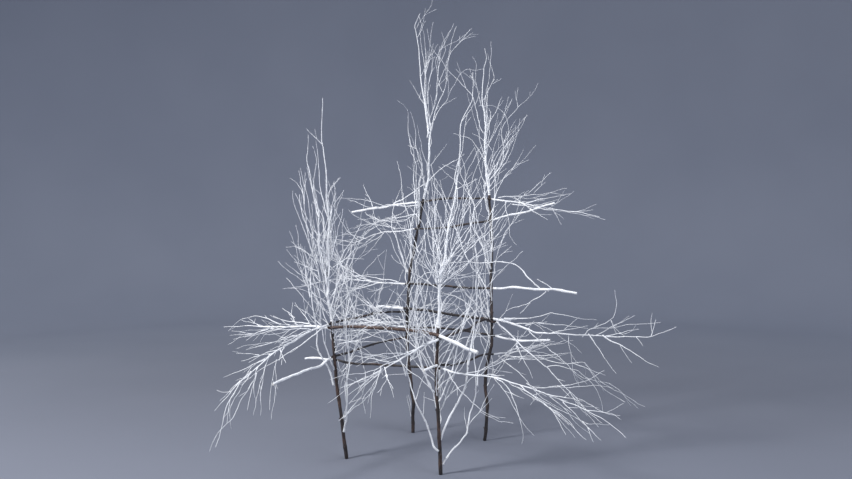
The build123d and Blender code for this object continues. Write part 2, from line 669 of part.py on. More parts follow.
front_y = -feet_depth / 2
back_y = feet_depth / 2
front_left_foot = (front_shift - front_feet_apart / 2, front_y - front_stagger / 2)
front_right_foot = (front_shift + front_feet_apart / 2, front_y + front_stagger / 2)
back_left_foot = (back_shift - back_feet_apart / 2, back_y - back_stagger / 2)
back_right_foot = (back_shift + back_feet_apart / 2, back_y + back_stagger / 2)

front_left_seat = (front_left_foot[0] - 49, front_left_foot[1] - 18)
front_right_seat = (front_right_foot[0] - 4, front_right_foot[1] - 10)
back_left_seat = (back_left_foot[0] - 23, back_left_foot[1] - 8)
back_right_seat = (back_right_foot[0] + 22, back_right_foot[1] + 14)

leg_top = seat_height + 10
back_left_top = (back_left_seat[0] + back_taper, back_left_seat[1] + back_rake, post_height - 17)
back_right_top = (back_right_seat[0] - back_taper, back_right_seat[1] + back_rake, post_height - 7)

upright_lines = {
    "front_left_leg": upright(front_left_foot, front_left_seat, leg_top,
                              [(0.10, -1, 0), (0.35, -6, 2), (0.60, -7, -2)], front_left_crown),
    "front_right_leg": upright(front_right_foot, front_right_seat, leg_top,
                               [(0.13, -1, 1), (0.38, -3, -2), (0.54, -9, 0), (0.68, -11, 3), (0.80, -8, 2)],
                               front_right_crown),
    "back_left_post": upright(back_left_foot, back_left_seat, seat_height,
                              [(0.18, 3, 1), (0.27, 13, 0), (0.33, 5, -1), (0.44, 2, 2), (0.72, -6, 1)],
                              back_left_crown, back_left_top, [(0.18, -9, 3), (0.40, -15, -2), (0.62, -12, 2), (0.83, -3, 0)]),
    "back_right_post": upright(back_right_foot, back_right_seat, seat_height,
                               [(0.11, 4, 0), (0.30, 3, 2), (0.42, -10, 0), (0.56, -12, -2), (0.80, 6, 1)],
                               back_right_crown, back_right_top, [(0.12, 1, 0), (0.36, 2, -3), (0.60, 8, 1), (0.84, 3, 0)]),
}
foot_diameters = {
    "front_left_leg": front_leg_diameter,
    "front_right_leg": front_leg_diameter,
    "back_left_post": back_post_diameter,
    "back_right_post": back_post_diameter * 0.94,
}
upright_growth = {
    "front_left_leg": (front_left_crown, front_left_crown_twigs, front_left_shoots),
    "front_right_leg": (front_right_crown, front_right_crown_twigs, front_right_shoots),
    "back_left_post": (back_left_crown, back_left_crown_twigs, back_left_shoots),
    "back_right_post": (back_right_crown, back_right_crown_twigs, back_right_shoots),
}

upright_radii = {}
for name, line in upright_lines.items():
    foot_radius = foot_diameters[name] / 2
    upright_radii[name] = tapered(line, foot_radius, foot_radius * crown_taper)

# Two rails that cross beside one leg are stepped apart by their radii and the gap.
left_step = (front_rail_diameter * far_taper + side_rail_diameter * far_taper) / 2 + rail_gap
right_step = (front_rail_diameter + right_rail_diameter * far_taper) / 2 + rail_gap
back_left_step = (back_rail_diameter + side_rail_diameter) / 2 + rail_gap
back_right_step = (back_rail_diameter * far_taper + right_rail_diameter) / 2 + rail_gap
stretcher_step = stretcher_diameter + rail_gap
seat_back_right = seat_height + 8


class Rail:
    """A rail or stretcher: from its first joint (nearer to the butt) to its second, then on into its crown."""

    def __init__(self, first, first_z, second, second_z, side, diameter, bows, butt, crown, crown_twigs,
                 butt_twigs=(), shoots=(), group="seat_rail_screws"):
        self.joints = ((first, first_z), (second, second_z))
        self.side = side
        self.radius = diameter / 2
        self.bows = bows
        self.butt = butt
        self.crown = crown
        self.crown_twigs = crown_twigs
        self.butt_twigs = butt_twigs
        self.shoots = shoots
        self.group = group


rails = {
    "front_seat_rail": Rail(
        "front_right_leg", seat_height, "front_left_leg", seat_height, "front", front_rail_diameter,
        [(0.10, 0, 6), (0.25, 0, 10), (0.45, 2, 11), (0.70, -2, 9), (0.92, 0, 4)],
        front_rail_butt, front_rail_crown, front_rail_twigs),
    "left_seat_rail": Rail(
        "back_left_post", seat_height + seat_back_lift - back_left_step,
        "front_left_leg", seat_height + left_step, "left", side_rail_diameter,
        [(0.25, -3, 10), (0.45, 2, 12), (0.62, -2, 8), (0.80, 3, 4)],
        left_rail_butt, left_rail_crown, left_rail_twigs, shoots=left_rail_shoots),
    "right_seat_rail": Rail(
        "back_right_post", seat_back_right - back_right_step,
        "front_right_leg", seat_height - right_step, "right", right_rail_diameter,
        [(0.045, 0, 2), (0.16, 2, 19), (0.34, -3, 17), (0.46, 3, 4), (0.72, -2, 2)],
        right_rail_butt, right_rail_crown, right_rail_twigs),
    "back_seat_rail": Rail(
        "back_left_post", seat_height + seat_back_lift, "back_right_post", seat_back_right, "front",
        back_rail_diameter, [(0.25, 3, 3), (0.45, -2, -1), (0.68, -3, -4), (0.84, 2, -5)],
        back_rail_butt, back_rail_crown, back_rail_twigs),
    "front_stretcher": Rail(
        "front_left_leg", stretcher_height - 2, "front_right_leg", stretcher_height, "back",
        stretcher_diameter, [(0.08, 2, -6), (0.22, -2, -9), (0.40, 3, -5), (0.62, -2, -3), (0.84, 1, -1)],
        front_stretcher_butt, front_stretcher_crown, front_stretcher_twigs, group="stretcher_screws"),
    "left_stretcher": Rail(
        "front_left_leg", stretcher_height - 2 + stretcher_step, "back_left_post", stretcher_height + 31,
        "left", stretcher_diameter * 1.03, [(0.22, 2, -2), (0.38, -2, 4), (0.66, 3, 6), (0.86, -1, 2)],
        left_stretcher_butt, left_stretcher_crown, left_stretcher_twigs, group="stretcher_screws"),
    "right_stretcher": Rail(
        "front_right_leg", stretcher_height + stretcher_step, "back_right_post", stretcher_height - 16,
        "right", stretcher_diameter, [(0.20, 3, -8), (0.46, -2, -9), (0.70, 3, 4), (0.88, 0, 5)],
        right_stretcher_butt, right_stretcher_crown, right_stretcher_twigs, group="stretcher_screws"),
    "back_stretcher": Rail(
        "back_right_post", back_stretcher_height - 8, "back_left_post", back_stretcher_height + 8, "back",
        stretcher_diameter * 1.05, [(0.20, 2, 4), (0.36, -2, 8), (0.66, 2, 9), (0.84, -1, 3)],
        back_stretcher_butt, back_stretcher_crown, back_stretcher_twigs, group="stretcher_screws"),
    "middle_back_rail": Rail(
        "back_right_post", middle_rail_height - 5, "back_left_post", middle_rail_height + 4, "front",
        middle_rail_diameter, [(0.30, -2, -3), (0.62, 2, 2), (0.85, 0, 3)],
        middle_rail_butt, middle_rail_crown, middle_rail_twigs, middle_rail_butt_twigs,
        group="back_rail_screws"),
    "second_back_rail": Rail(
        "back_right_post", second_rail_height + 14, "back_left_post", second_rail_height - 15, "front",
        second_rail_diameter, [(0.26, -2, -2), (0.52, 2, -9), (0.76, 0, -6)],
        second_rail_butt, second_rail_crown, second_rail_twigs, second_rail_butt_twigs,
        group="back_rail_screws"),
    "top_back_rail": Rail(
        "back_left_post", top_rail_height - 3, "back_right_post", top_rail_height + 5, "front",
        top_rail_diameter, [(0.25, 2, 8), (0.50, -2, 10), (0.75, 2, 4)],
        top_rail_butt, top_rail_crown, top_rail_twigs, top_rail_butt_twigs, group="back_rail_screws"),
}

# ---------------------------------------------------------------- build the wood
nodes = {}
uprights = {}
growth = []                # (limb, twigs, node)

for name, line in upright_lines.items():
    crown_steps, crown_twigs, shoots = upright_growth[name]
    bark = Limb(name, line, upright_radii[name], flat_foot=True)
    crown_line = [line[-1]] + walk(line[-1], crown_steps)
    crown = Limb(name, crown_line, tapered(crown_line, bark.radii[-1], tip_diameter / 2), before=bark)
    uprights[name] = bark
    nodes[name + "_crown"] = [crown.solid()]
    for limb in (bark, crown):
        add_runs(name, limb.points, limb.radii)
    growth.append((crown, crown_twigs, name + "_crown"))
    growth.append((bark, shoots, name + "_shoots"))


def wood_screw(head_point, into, length):
    """A countersunk screw: its head at head_point, its point length away in the direction into."""
    head_radius, shank_radius = screw_head_diameter / 2, screw_shank_diameter / 2
    depths = [0, screw_head_length, length - screw_point_length, length]
    points = [plus(head_point, into, depth) for depth in depths]
    radii = [head_radius, shank_radius, shank_radius, shank_radius * 0.2]
    return Solid.make_loft(round_sections(points, radii), ruled=True)


leg_screws = {name: [] for name in uprights}
for group in ("seat_rail_screws", "stretcher_screws", "back_rail_screws"):
    nodes[group] = []

for name, rail in rails.items():
    out = sides[rail.side]
    into = plus((0, 0, 0), out, -1)
    joints = []            # where the rail's axis passes each leg, with the rail's radius there
    cutters = []
    for (leg, height), radius in zip(rail.joints, (rail.radius, rail.radius * far_taper)):
        distance = uprights[leg].distance_at_height(height)
        axis, leg_radius, _ = uprights[leg].spot(distance)
        place = plus(axis, out, leg_radius + radius - notch_depth)
        joints.append((place, radius))
        cutters.append(uprights[leg].piece(distance - paint_reach, distance + paint_reach))
        head_point = plus(place, out, radius - screw_sink)
        screw = wood_screw(head_point, into, size(minus(axis, head_point)) + screw_bite * leg_radius)
        recess = Solid.make_cylinder(screw_head_diameter / 2, radius, Plane(origin=head_point, z_dir=out))
        cutters += [recess, screw]
        leg_screws[leg].append(screw)
        nodes[rail.group].append(screw)
    (first, first_radius), (second, second_radius) = joints
    middle = []
    for share, aside, up in rail.bows:
        middle.append(plus(plus(between(first, second, share), out, aside), (0, 0, up)))
    first_paint = plus(first, heading(*rail.butt[0][:2]), paint_reach)
    second_paint = plus(second, heading(*rail.crown[0][:2]), paint_reach)
    bark_line = [first_paint, first] + middle + [second, second_paint]
    bark_radii = [first_radius] + tapered(bark_line[1:-1], first_radius, second_radius) + [second_radius]
    butt_line = [first_paint] + walk(first, rail.butt)
    crown_line = [second_paint] + walk(second, rail.crown)
    bark = Limb(name, bark_line, bark_radii)
    butt = Limb(name, butt_line, tapered(butt_line, first_radius, first_radius * butt_swell))
    crown = Limb(name, crown_line, tapered(crown_line, second_radius, tip_diameter / 2), before=bark)
    for limb in (bark, butt, crown):
        add_runs(name, limb.points, limb.radii)
    nodes[name] = [biggest(bark.solid() - cutters)]
    nodes[name + "_butt"] = [butt.solid()]
    nodes[name + "_crown"] = [crown.solid()]
    growth.append((crown, rail.crown_twigs, name + "_crown"))
    growth.append((butt, rail.butt_twigs, name + "_butt"))
    growth.append((bark, rail.shoots, name + "_shoots"))

for name, limb in uprights.items():
    nodes[name] = [biggest(limb.solid() - leg_screws[name])]

for limb, twigs, node in growth:
    for number, twig in enumerate(twigs):
        nodes.setdefault(node, []).extend(grow(limb, twig, f"{node}.{number}"))

# ---------------------------------------------------------------- write one STEP for each node
os.makedirs("parts", exist_ok=True)
for name, solids in nodes.items():
    shape = solids[0] if len(solids) == 1 else Compound(children=solids)
    export_step(shape, f"parts/{name}.step")
print(len(nodes), "nodes,", sum(len(solids) for solids in nodes.values()), "solids")
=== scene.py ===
# %% [markdown]
# # Twig chair
#
# The chair is drawn with fifteen whole branches. The lengths that draw it keep their dark bark. Their butts and their
# twiggy crowns are painted white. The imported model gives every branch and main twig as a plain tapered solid. This
# scene reads the line and the thickness of each solid, and grows on it what makes it wood: wobbles, knuckles, buds,
# fine twigs, bark and brushed paint.

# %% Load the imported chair
import collections
import math
import random

import bmesh
import bpy
import numpy as np
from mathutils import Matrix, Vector, kdtree, noise
from numpy.linalg import norm


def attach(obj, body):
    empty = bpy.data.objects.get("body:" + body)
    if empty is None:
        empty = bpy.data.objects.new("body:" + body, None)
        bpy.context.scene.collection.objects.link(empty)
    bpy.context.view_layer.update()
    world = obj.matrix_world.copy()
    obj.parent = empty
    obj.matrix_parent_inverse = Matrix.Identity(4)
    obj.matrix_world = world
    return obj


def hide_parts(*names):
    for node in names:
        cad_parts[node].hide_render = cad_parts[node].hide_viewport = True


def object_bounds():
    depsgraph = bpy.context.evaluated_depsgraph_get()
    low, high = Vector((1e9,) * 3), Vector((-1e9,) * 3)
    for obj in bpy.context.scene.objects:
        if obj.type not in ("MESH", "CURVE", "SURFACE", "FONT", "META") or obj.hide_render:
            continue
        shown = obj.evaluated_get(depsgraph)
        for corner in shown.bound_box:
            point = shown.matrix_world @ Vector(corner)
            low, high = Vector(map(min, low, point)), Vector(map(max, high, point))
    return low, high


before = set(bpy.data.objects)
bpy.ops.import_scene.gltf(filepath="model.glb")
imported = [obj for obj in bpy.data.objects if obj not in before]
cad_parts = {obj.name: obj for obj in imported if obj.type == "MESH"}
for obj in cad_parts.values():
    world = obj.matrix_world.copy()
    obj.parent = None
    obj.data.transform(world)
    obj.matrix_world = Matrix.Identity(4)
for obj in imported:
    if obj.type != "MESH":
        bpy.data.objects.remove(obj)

scene = bpy.context.scene
cad_low, cad_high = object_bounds()
print("nodes:", len(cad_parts), "box:", tuple(cad_low), tuple(cad_high))

# %% [markdown]
# ## Camera
#
# The camera stands a little right of the front, as high as the chair's middle. It looks level, which keeps upright
# branches upright in the picture, so that their own bends show.

# %% Camera
camera_place = (1.3365, -2.2854, 0.754)
camera_turn = 30
focal_length = 31.27
sensor_width = 36


def put(name, data):
    """A new object."""
    made = bpy.data.objects.new(name, data)
    scene.collection.objects.link(made)
    return made


camera_data = bpy.data.cameras.new("camera")
camera_data.sensor_width = sensor_width
camera_data.lens = focal_length
camera = put("camera", camera_data)
camera.location = camera_place
camera.rotation_euler = (math.radians(90), 0, math.radians(camera_turn))
scene.camera = camera
print("camera at", tuple(camera.location))

# %% [markdown]
# ## Floor
#
# A wide round bowl: flat under the chair, and curving up into a wall far behind it, so that no horizon shows from any
# side. One outline, spun once round the chair, makes it. Its quiet grey blue lets both the white twigs and the dark
# bark stand out.

# %% Floor
floor_reach = 4.4
floor_wall = 6.2
floor_height = 5.0
bend_steps = 12
spin_steps = 96


def mesh_of(bm, name):
    """Close a bmesh into a mesh."""
    mesh = bpy.data.meshes.new(name)
    bm.to_mesh(mesh)
    bm.free()
    return mesh


def floor_profile():
    """Radius and height of the bowl, from its middle out and up its wall."""
    steps = [(floor_reach * share, 0.0) for share in (0, 0.25, 0.5, 0.75, 1.0)]
    bend = floor_wall - floor_reach
    for turn in range(1, bend_steps + 1):
        angle = math.pi / 2 * turn / bend_steps
        steps.append((floor_reach + bend * math.sin(angle), bend * (1 - math.cos(angle))))
    steps.append((floor_wall, floor_height))
    return steps


def studio_floor():
    """The profile, spun once round the chair, with its faces turned inwards and smoothed."""
    bm = bmesh.new()
    profile = [bm.verts.new((radius, 0, height)) for radius, height in floor_profile()]
    edges = [bm.edges.new(pair) for pair in zip(profile, profile[1:])]
    bmesh.ops.spin(bm, geom=profile + edges, cent=(0, 0, 0), axis=(0, 0, 1), angle=math.tau,
                   steps=spin_steps, use_merge=True)
    bmesh.ops.remove_doubles(bm, verts=bm.verts, dist=0.0001)
    bmesh.ops.recalc_face_normals(bm, faces=bm.faces)
    bmesh.ops.reverse_faces(bm, faces=bm.faces)
    for face in bm.faces:
        face.smooth = True
    floor = put("studio_floor", mesh_of(bm, "studio_floor"))
    return floor


floor = studio_floor()
print("floor:", len(floor.data.polygons), "faces")

# %% [markdown]
# ## Light
#
# A soft light high at the front left gives the form. It is small enough for the edges of the legs' shadows to be
# seen. A wide weak light at the right, another above and the world's own light fill the shadows.

# %% Light
key_light = (-1.6, -2.7, 2.8)
fill_light = (2.6, -0.6, 2.0)
top_light = (0.2, 0.6, 3.6)
light_aim = (0, 0, 0.7)
world_color = (0.62, 0.66, 0.74, 1)
world_strength = 0.46


def soft_light(name, place, size, power, color):
    """A square light that faces the chair. The power is in watts."""
    data = bpy.data.lights.new(name, "AREA")
    data.shape = "SQUARE"
    data.size = size
    data.energy = power
    data.color = color
    light = put(name, data)
    light.location = place
    aim = Vector(light_aim) - Vector(place)
    light.rotation_euler = aim.to_track_quat("-Z", "Y").to_euler()


soft_light("key_light", key_light, 0.55, 182, (1.0, 0.99, 0.97))
soft_light("fill_light", fill_light, 2.0, 56, (0.95, 0.97, 1.0))
soft_light("top_light", top_light, 2.4, 46, (0.97, 0.98, 1.0))

world = bpy.data.worlds.new("studio")
world.use_nodes = True
background = world.node_tree.nodes["Background"]
background.inputs["Color"].default_value = world_color
background.inputs["Strength"].default_value = world_strength
scene.world = world
scene.view_settings.view_transform = "Standard"
print("lights: key, fill and top; world", world_strength)

# %% [markdown]
# ## Materials
#
# Every branch carries its own straightened coordinates in the attribute `grain`: two directions across the wood and
# one along it, in metres. A pattern that is drawn in them follows the branch round every bend. The attribute `paint`
# is 1 at a paint line and falls to 0 a short way from it, so that the edge of the white can be ragged.

# %% Material helpers


class Recipe:
    """A material, and short ways to add and join its nodes."""

    def __init__(self, name):
        self.material = bpy.data.materials.new(name)
        self.material.use_nodes = True
        self.tree = self.material.node_tree
        self.shader = self.tree.nodes["Principled BSDF"]

    def node(self, kind, inputs=(), **settings):
        """Add a shader node, set its properties and fill its inputs."""
        made = self.tree.nodes.new("ShaderNode" + kind)
        for key, value in settings.items():
            setattr(made, key, value)
        for key, value in dict(inputs).items():
            self.fill(made.inputs[key], value)
        return made

    def fill(self, socket, value):
        """Link the socket to another node's output, or set its value."""
        if isinstance(value, bpy.types.NodeSocket):
            self.tree.links.new(value, socket)
        else:
            socket.default_value = value

    def attribute(self, name, output):
        """One of the mesh's own attributes."""
        return self.node("Attribute", attribute_name=name).outputs[output]

    def stretched(self, vector, scale):
        """The vector with its three parts scaled apart."""
        return self.node("Mapping", {"Vector": vector, "Scale": scale}).outputs["Vector"]

    def noise(self, vector, scale, detail=3.0, rough=0.55):
        """Soft noise, with the scale in cells for each metre."""
        inputs = {"Vector": vector, "Scale": scale, "Detail": detail, "Roughness": rough}
        return self.node("TexNoise", inputs).outputs["Fac"]

    def ramp(self, value, stops):
        """A colour ramp through stops of place and colour."""
        made = self.node("ValToRGB", {"Fac": value})
        bar = made.color_ramp.elements
        while len(bar) < len(stops):
            bar.new(1.0)
        for element, (place, color) in zip(bar, stops):
            element.position = place
            element.color = (*color, 1)
        return made.outputs["Color"]

    def window(self, value, low, high):
        """0 below low, 1 above high, smooth between them."""
        inputs = {"Value": value, "From Min": low, "From Max": high}
        return self.node("MapRange", inputs, interpolation_type="SMOOTHSTEP").outputs["Result"]

    def sum(self, first, second, operation="ADD"):
        """Two values added, or joined in another way."""
        return self.node("Math", {0: first, 1: second}, operation=operation).outputs["Value"]

    def mix(self, share, first, second):
        """The first colour, with a share of the second."""
        first, second = [(*color, 1) if isinstance(color, tuple) else color for color in (first, second)]
        return self.node("Mix", {0: share, 6: first, 7: second}, data_type="RGBA").outputs[2]

    def shade(self, **links):
        """Fill the shader's own inputs."""
        for name, value in links.items():
            self.fill(self.shader.inputs[name.replace("_", " ").title()], value)

    def bump(self, height, strength, distance):
        """Fine relief, with the distance in metres."""
        made = self.node("Bump", {"Height": height, "Strength": strength, "Distance": distance})
        self.shade(normal=made.outputs["Normal"])


def tell(material):
    """Print the size of a material's recipe."""
    print(material.name, len(material.node_tree.nodes), "nodes")


print("recipe helpers:", sum(not name.startswith("_") for name in dir(Recipe)))

# %% [markdown]
# ### Bark
#
# Thin dark bark: fine streaks along the branch, patches of greyer and redder brown, and the short pale breathing
# marks that lie across young bark. Stretched noise draws all three, because it has no seam and no repeat. The
# attribute `warmth` says how red a branch is: the front rail most, the back posts least. Near a paint line the
# streaks push the edge of the white to and fro.

# %% Bark
paint_white = (0.84, 0.86, 0.89)
cool_bark = [(0.30, (0.005, 0.004, 0.006)), (0.50, (0.013, 0.010, 0.012)), (0.70, (0.052, 0.041, 0.041))]
warm_bark = [(0.30, (0.014, 0.008, 0.007)), (0.50, (0.060, 0.034, 0.028)), (0.70, (0.200, 0.120, 0.094))]
mark_color = (0.17, 0.13, 0.11)
streak_scale = 520
patch_scale = 48
flake_scale = 1500
mark_scale = 560


def bark_wood():
    """Streaked bark, with white paint on it at a paint line."""
    recipe = Recipe("brown_bark")
    grain = recipe.attribute("grain", "Vector")
    streaks = recipe.noise(recipe.stretched(grain, (1, 1, 0.09)), streak_scale, 4.0, 0.6)
    patches = recipe.noise(recipe.stretched(grain, (1, 1, 0.4)), patch_scale)
    flakes = recipe.noise(recipe.stretched(grain, (1, 1, 0.3)), flake_scale, 2.0)
    marks_field = recipe.noise(recipe.stretched(grain, (0.35, 0.35, 1.6)), mark_scale, 1.0)
    marks = recipe.window(marks_field, 0.66, 0.72)
    redness = recipe.sum(recipe.attribute("warmth", "Fac"), recipe.window(patches, 0.30, 0.72))
    redness = recipe.window(redness, 0.45, 1.45)
    bark = recipe.mix(redness, recipe.ramp(streaks, cool_bark), recipe.ramp(streaks, warm_bark))
    bark = recipe.mix(recipe.sum(marks, 0.5, "MULTIPLY"), bark, mark_color)
    edge = recipe.sum(recipe.attribute("paint", "Fac"), recipe.sum(streaks, 0.5, "SUBTRACT"))
    painted = recipe.window(edge, 0.48, 0.56)
    color = recipe.mix(painted, bark, paint_white)
    height = recipe.sum(recipe.sum(streaks, recipe.sum(marks, 0.5, "MULTIPLY")),
                        recipe.sum(flakes, recipe.sum(painted, 0.6, "MULTIPLY")))
    recipe.bump(height, 0.6, 0.0009)
    rough = recipe.window(patches, 0.2, 0.9)
    recipe.shade(base_color=color, roughness=recipe.sum(recipe.sum(rough, 0.25, "MULTIPLY"), 0.50))
    return recipe.material


bark = bark_wood()
tell(bark)

# %% [markdown]
# ### White paint
#
# Matt white, brushed over the bark of the twigs. The relief of the bark shows through it, it is thinner and greyer in
# the hollows, and small chips show the brown below. The same stretched noise as in the bark makes the relief, so that
# both look like one wood.

# %% White paint
chip_color = (0.20, 0.14, 0.11)
chip_window = (0.64, 0.68)
brush_scale = 700


def white_wood():
    """White paint over bark, with grey hollows and a few chips."""
    recipe = Recipe("white_painted_wood")
    grain = recipe.attribute("grain", "Vector")
    brushed = recipe.noise(recipe.stretched(grain, (1, 1, 0.08)), brush_scale)
    clouds = recipe.noise(recipe.stretched(grain, (1, 1, 0.4)), 60, 2.0)
    chips_field = recipe.noise(recipe.stretched(grain, (1, 1, 0.5)), 420, 3.0, 0.7)
    chips = recipe.window(chips_field, *chip_window)
    tone = recipe.ramp(brushed, [(0.25, (0.64, 0.66, 0.70)), (0.5, (0.80, 0.82, 0.86)),
                                 (0.75, (0.88, 0.90, 0.94))])
    tone = recipe.mix(recipe.sum(recipe.window(clouds, 0.45, 0.75), 0.25, "MULTIPLY"), tone, (0.62, 0.625, 0.63))
    color = recipe.mix(chips, tone, chip_color)
    recipe.bump(recipe.sum(brushed, recipe.sum(chips, -0.8, "MULTIPLY")), 0.7, 0.0008)
    recipe.shade(base_color=color, roughness=recipe.sum(recipe.sum(clouds, 0.25, "MULTIPLY"), 0.48))
    return recipe.material


white = white_wood()
tell(white)

# %% [markdown]
# ### Sawn ends
#
# The thick ends of the branches are sawn across and painted too. The paint sinks into end grain, so it is greyer
# there, and the year rings show faintly. A wave in rings round the middle of the branch draws them.

# %% Sawn ends
ring_scale = 260


def cut_end():
    """A sawn end under the same paint, with faint rings."""
    recipe = Recipe("white_painted_end")
    grain = recipe.attribute("grain", "Vector")
    across = recipe.stretched(grain, (1, 1, 0))
    rings = recipe.node("TexWave", {"Vector": across, "Scale": ring_scale, "Distortion": 1.5},
                        wave_type="RINGS", rings_direction="Z").outputs["Fac"]
    tone = recipe.ramp(rings, [(0.1, (0.62, 0.60, 0.57)), (0.6, (0.78, 0.79, 0.80))])
    recipe.bump(rings, 0.4, 0.0004)
    recipe.shade(base_color=tone, roughness=0.62)
    return recipe.material


white_end = cut_end()
tell(white_end)

# %% [markdown]
# ### Steel and floor
#
# The screws are dull steel. Nearly all of a screw is hidden in its joint, so plain fine scratches are enough. The
# floor is plain paint with the faintest clouds. It gets lighter away from the chair, where less light falls, so that
# floor and wall look like one even surface.

# %% Steel and floor
scratch_scale = 900
floor_near, floor_far = 1.2, 5.0


def screw_steel():
    """Dull steel with fine scratches."""
    recipe = Recipe("dull_steel")
    place = recipe.node("TexCoord").outputs["Object"]
    scratches = recipe.noise(recipe.stretched(place, (1, 1, 6)), scratch_scale)
    tone = recipe.ramp(scratches, [(0.3, (0.34, 0.33, 0.32)), (0.7, (0.52, 0.51, 0.49))])
    recipe.bump(scratches, 0.25, 0.0002)
    recipe.shade(base_color=tone, metallic=1.0, roughness=recipe.window(scratches, -0.4, 1.4))
    return recipe.material


def floor_paint():
    """Plain paint with the faintest clouds, lighter away from the chair."""
    recipe = Recipe("floor_paint")
    place = recipe.node("TexCoord").outputs["Object"]
    clouds = recipe.noise(place, 0.8, 2.0)
    away = recipe.node("VectorMath", {0: place}, operation="LENGTH").outputs["Value"]
    wall = recipe.window(away, floor_near, floor_far)
    near_tone = recipe.ramp(clouds, [(0.3, (0.134, 0.147, 0.189)), (0.7, (0.144, 0.157, 0.200))])
    far_tone = recipe.ramp(clouds, [(0.3, (0.310, 0.340, 0.425)), (0.7, (0.334, 0.364, 0.450))])
    recipe.shade(base_color=recipe.mix(wall, near_tone, far_tone), roughness=0.9)
    return recipe.material


steel = screw_steel()
floor.data.materials.append(floor_paint())
tell(steel)

# %% [markdown]
# ## Reading the lines of the branches
#
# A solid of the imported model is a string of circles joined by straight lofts. The visible wood has to stay on those
# lofts, so their lines are read from the mesh and not drawn again. First each node's mesh is parted into its solids:
# triangles that share an edge belong to the same solid.

# %% Mesh into solids


def points_of(mesh):
    """The points of a mesh."""
    points = np.empty(len(mesh.vertices) * 3)
    mesh.vertices.foreach_get("co", points)
    return points.reshape(-1, 3)


def welded(mesh):
    """The points and triangles of a mesh, with doubled points joined."""
    mesh.calc_loop_triangles()
    corners = np.empty(len(mesh.loop_triangles) * 3, dtype=np.int64)
    mesh.loop_triangles.foreach_get("vertices", corners)
    points, same = np.unique(points_of(mesh), axis=0, return_inverse=True)
    return points, same.reshape(-1)[corners].reshape(-1, 3)


def groups(count, edges):
    """One number for each point, the same for points that edges join."""
    label = np.arange(count)
    while len(edges):
        low = np.minimum(label[edges[:, 0]], label[edges[:, 1]])
        lower = label.copy()
        np.minimum.at(lower, edges[:, 0], low)
        np.minimum.at(lower, edges[:, 1], low)
        lower = lower[lower]
        if (lower == label).all():
            break
        label = lower
    return np.unique(label, return_inverse=True)[1].reshape(-1)


def sides_of(corners, count):
    """The edges of triangles as pairs of points, and each triangle's edges."""
    pairs = np.sort(np.concatenate((corners[:, [0, 1]], corners[:, [1, 2]], corners[:, [2, 0]])), axis=1)
    codes, which = np.unique(pairs[:, 0] * count + pairs[:, 1], return_inverse=True)
    return np.column_stack((codes // count, codes % count)), which.reshape(-1)


def solids(mesh):
    """The points and edges of each solid of a node."""
    points, corners = welded(mesh)
    edges, which = sides_of(corners, len(points))
    total = len(corners)
    face = np.tile(np.arange(total), 3)
    label = groups(total + len(edges), np.column_stack((face, total + which)))[:total]
    for number in np.unique(label):
        used, own = np.unique(corners[label == number], return_inverse=True)
        yield points[used], sides_of(own.reshape(-1, 3), len(used))[0]


first_solid = next(iter(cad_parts.values()))
print("solids of the first node:", len(list(solids(first_solid.data))))

# %% [markdown]
# ### The line of a twig
#
# In the mesh of a loft the points of one circle are joined by short edges, and neighbouring circles by long ones. So
# the short edges alone group the points into circles, and each circle gives one point and one thickness of the line.
# The base of a twig is coped to its parent and isn't a plain circle. There the line goes on straight to the far side
# of the cope. The line starts at the base and ends at the tip.

# %% Line of a twig
short_edge = 0.009
least_points = 8
coped_spread = 0.3
most_slope = 0.02


def twig_line(points, edges):
    """Points and radii from the base of a lofted twig to its tip."""
    length = norm(points[edges[:, 0]] - points[edges[:, 1]], axis=1)
    label = groups(len(points), edges[length < short_edge])
    rings = []
    for number in range(label.max() + 1):
        ring = points[label == number]
        if len(ring) < least_points:
            continue
        middle = ring.mean(axis=0)
        rings.append((middle, norm(ring - middle, axis=1).mean(), ring))
    sizes = [ring[1] for ring in rings]
    order = [rings.pop(sizes.index(min(sizes)))]
    while rings:
        gaps = [norm(ring[0] - order[-1][0]) for ring in rings]
        order.append(rings.pop(gaps.index(min(gaps))))
    order.reverse()
    line = np.array([ring[0] for ring in order])
    radii = np.array([ring[1] for ring in order])
    heading = line[0] - line[1]
    heading = heading / norm(heading)
    reach = (order[0][2] - line[1]) @ heading
    coped = reach.max() - reach.min() > coped_spread * radii[1]
    if coped:
        line[0] = line[1] + heading * reach.max()
        slope = 0.01
        if len(line) > 2:
            slope = (radii[1] - radii[2]) / max(norm(line[1] - line[2]), 0.01)
        radii[0] = radii[1] + min(max(slope, 0.0), most_slope) * reach.max()
    return line, radii, coped


print("rings of a twig have edges under", short_edge, "m")

# %% [markdown]
# ### The line of a bark length
#
# The bark lengths have saddle notches and screw holes, so their rings aren't plain circles. They are cut into thin
# slices instead. In every slice a circle is laid through the points, and then again through those that lie near it,
# until the points in a notch have dropped out. Slices that a joint has thrown off take the run of their neighbours.

# %% Line of a bark length
slice_step = 0.006
first_slice, last_slice = 0.007, 0.006
near_shares = (0.25, 0.15, 0.1, 0.06, 0.05, 0.05)
least_near = 12
most_jump = 0.0011
most_swell = 0.0006


def circle_through(flat):
    """Middle and radius of the circle that most of the flat points lie on."""
    kept = flat
    for near_share in near_shares:
        system = np.column_stack((2 * kept, np.ones(len(kept))))
        answer = np.linalg.lstsq(system, (kept ** 2).sum(axis=1), rcond=None)[0]
        middle = answer[:2]
        radius = math.sqrt(max(answer[2] + middle @ middle, 1e-9))
        away = norm(flat - middle, axis=1) - radius
        near = np.abs(away) < near_share * radius
        if near.sum() < least_near:
            break
        kept = flat[near]
    return middle, radius


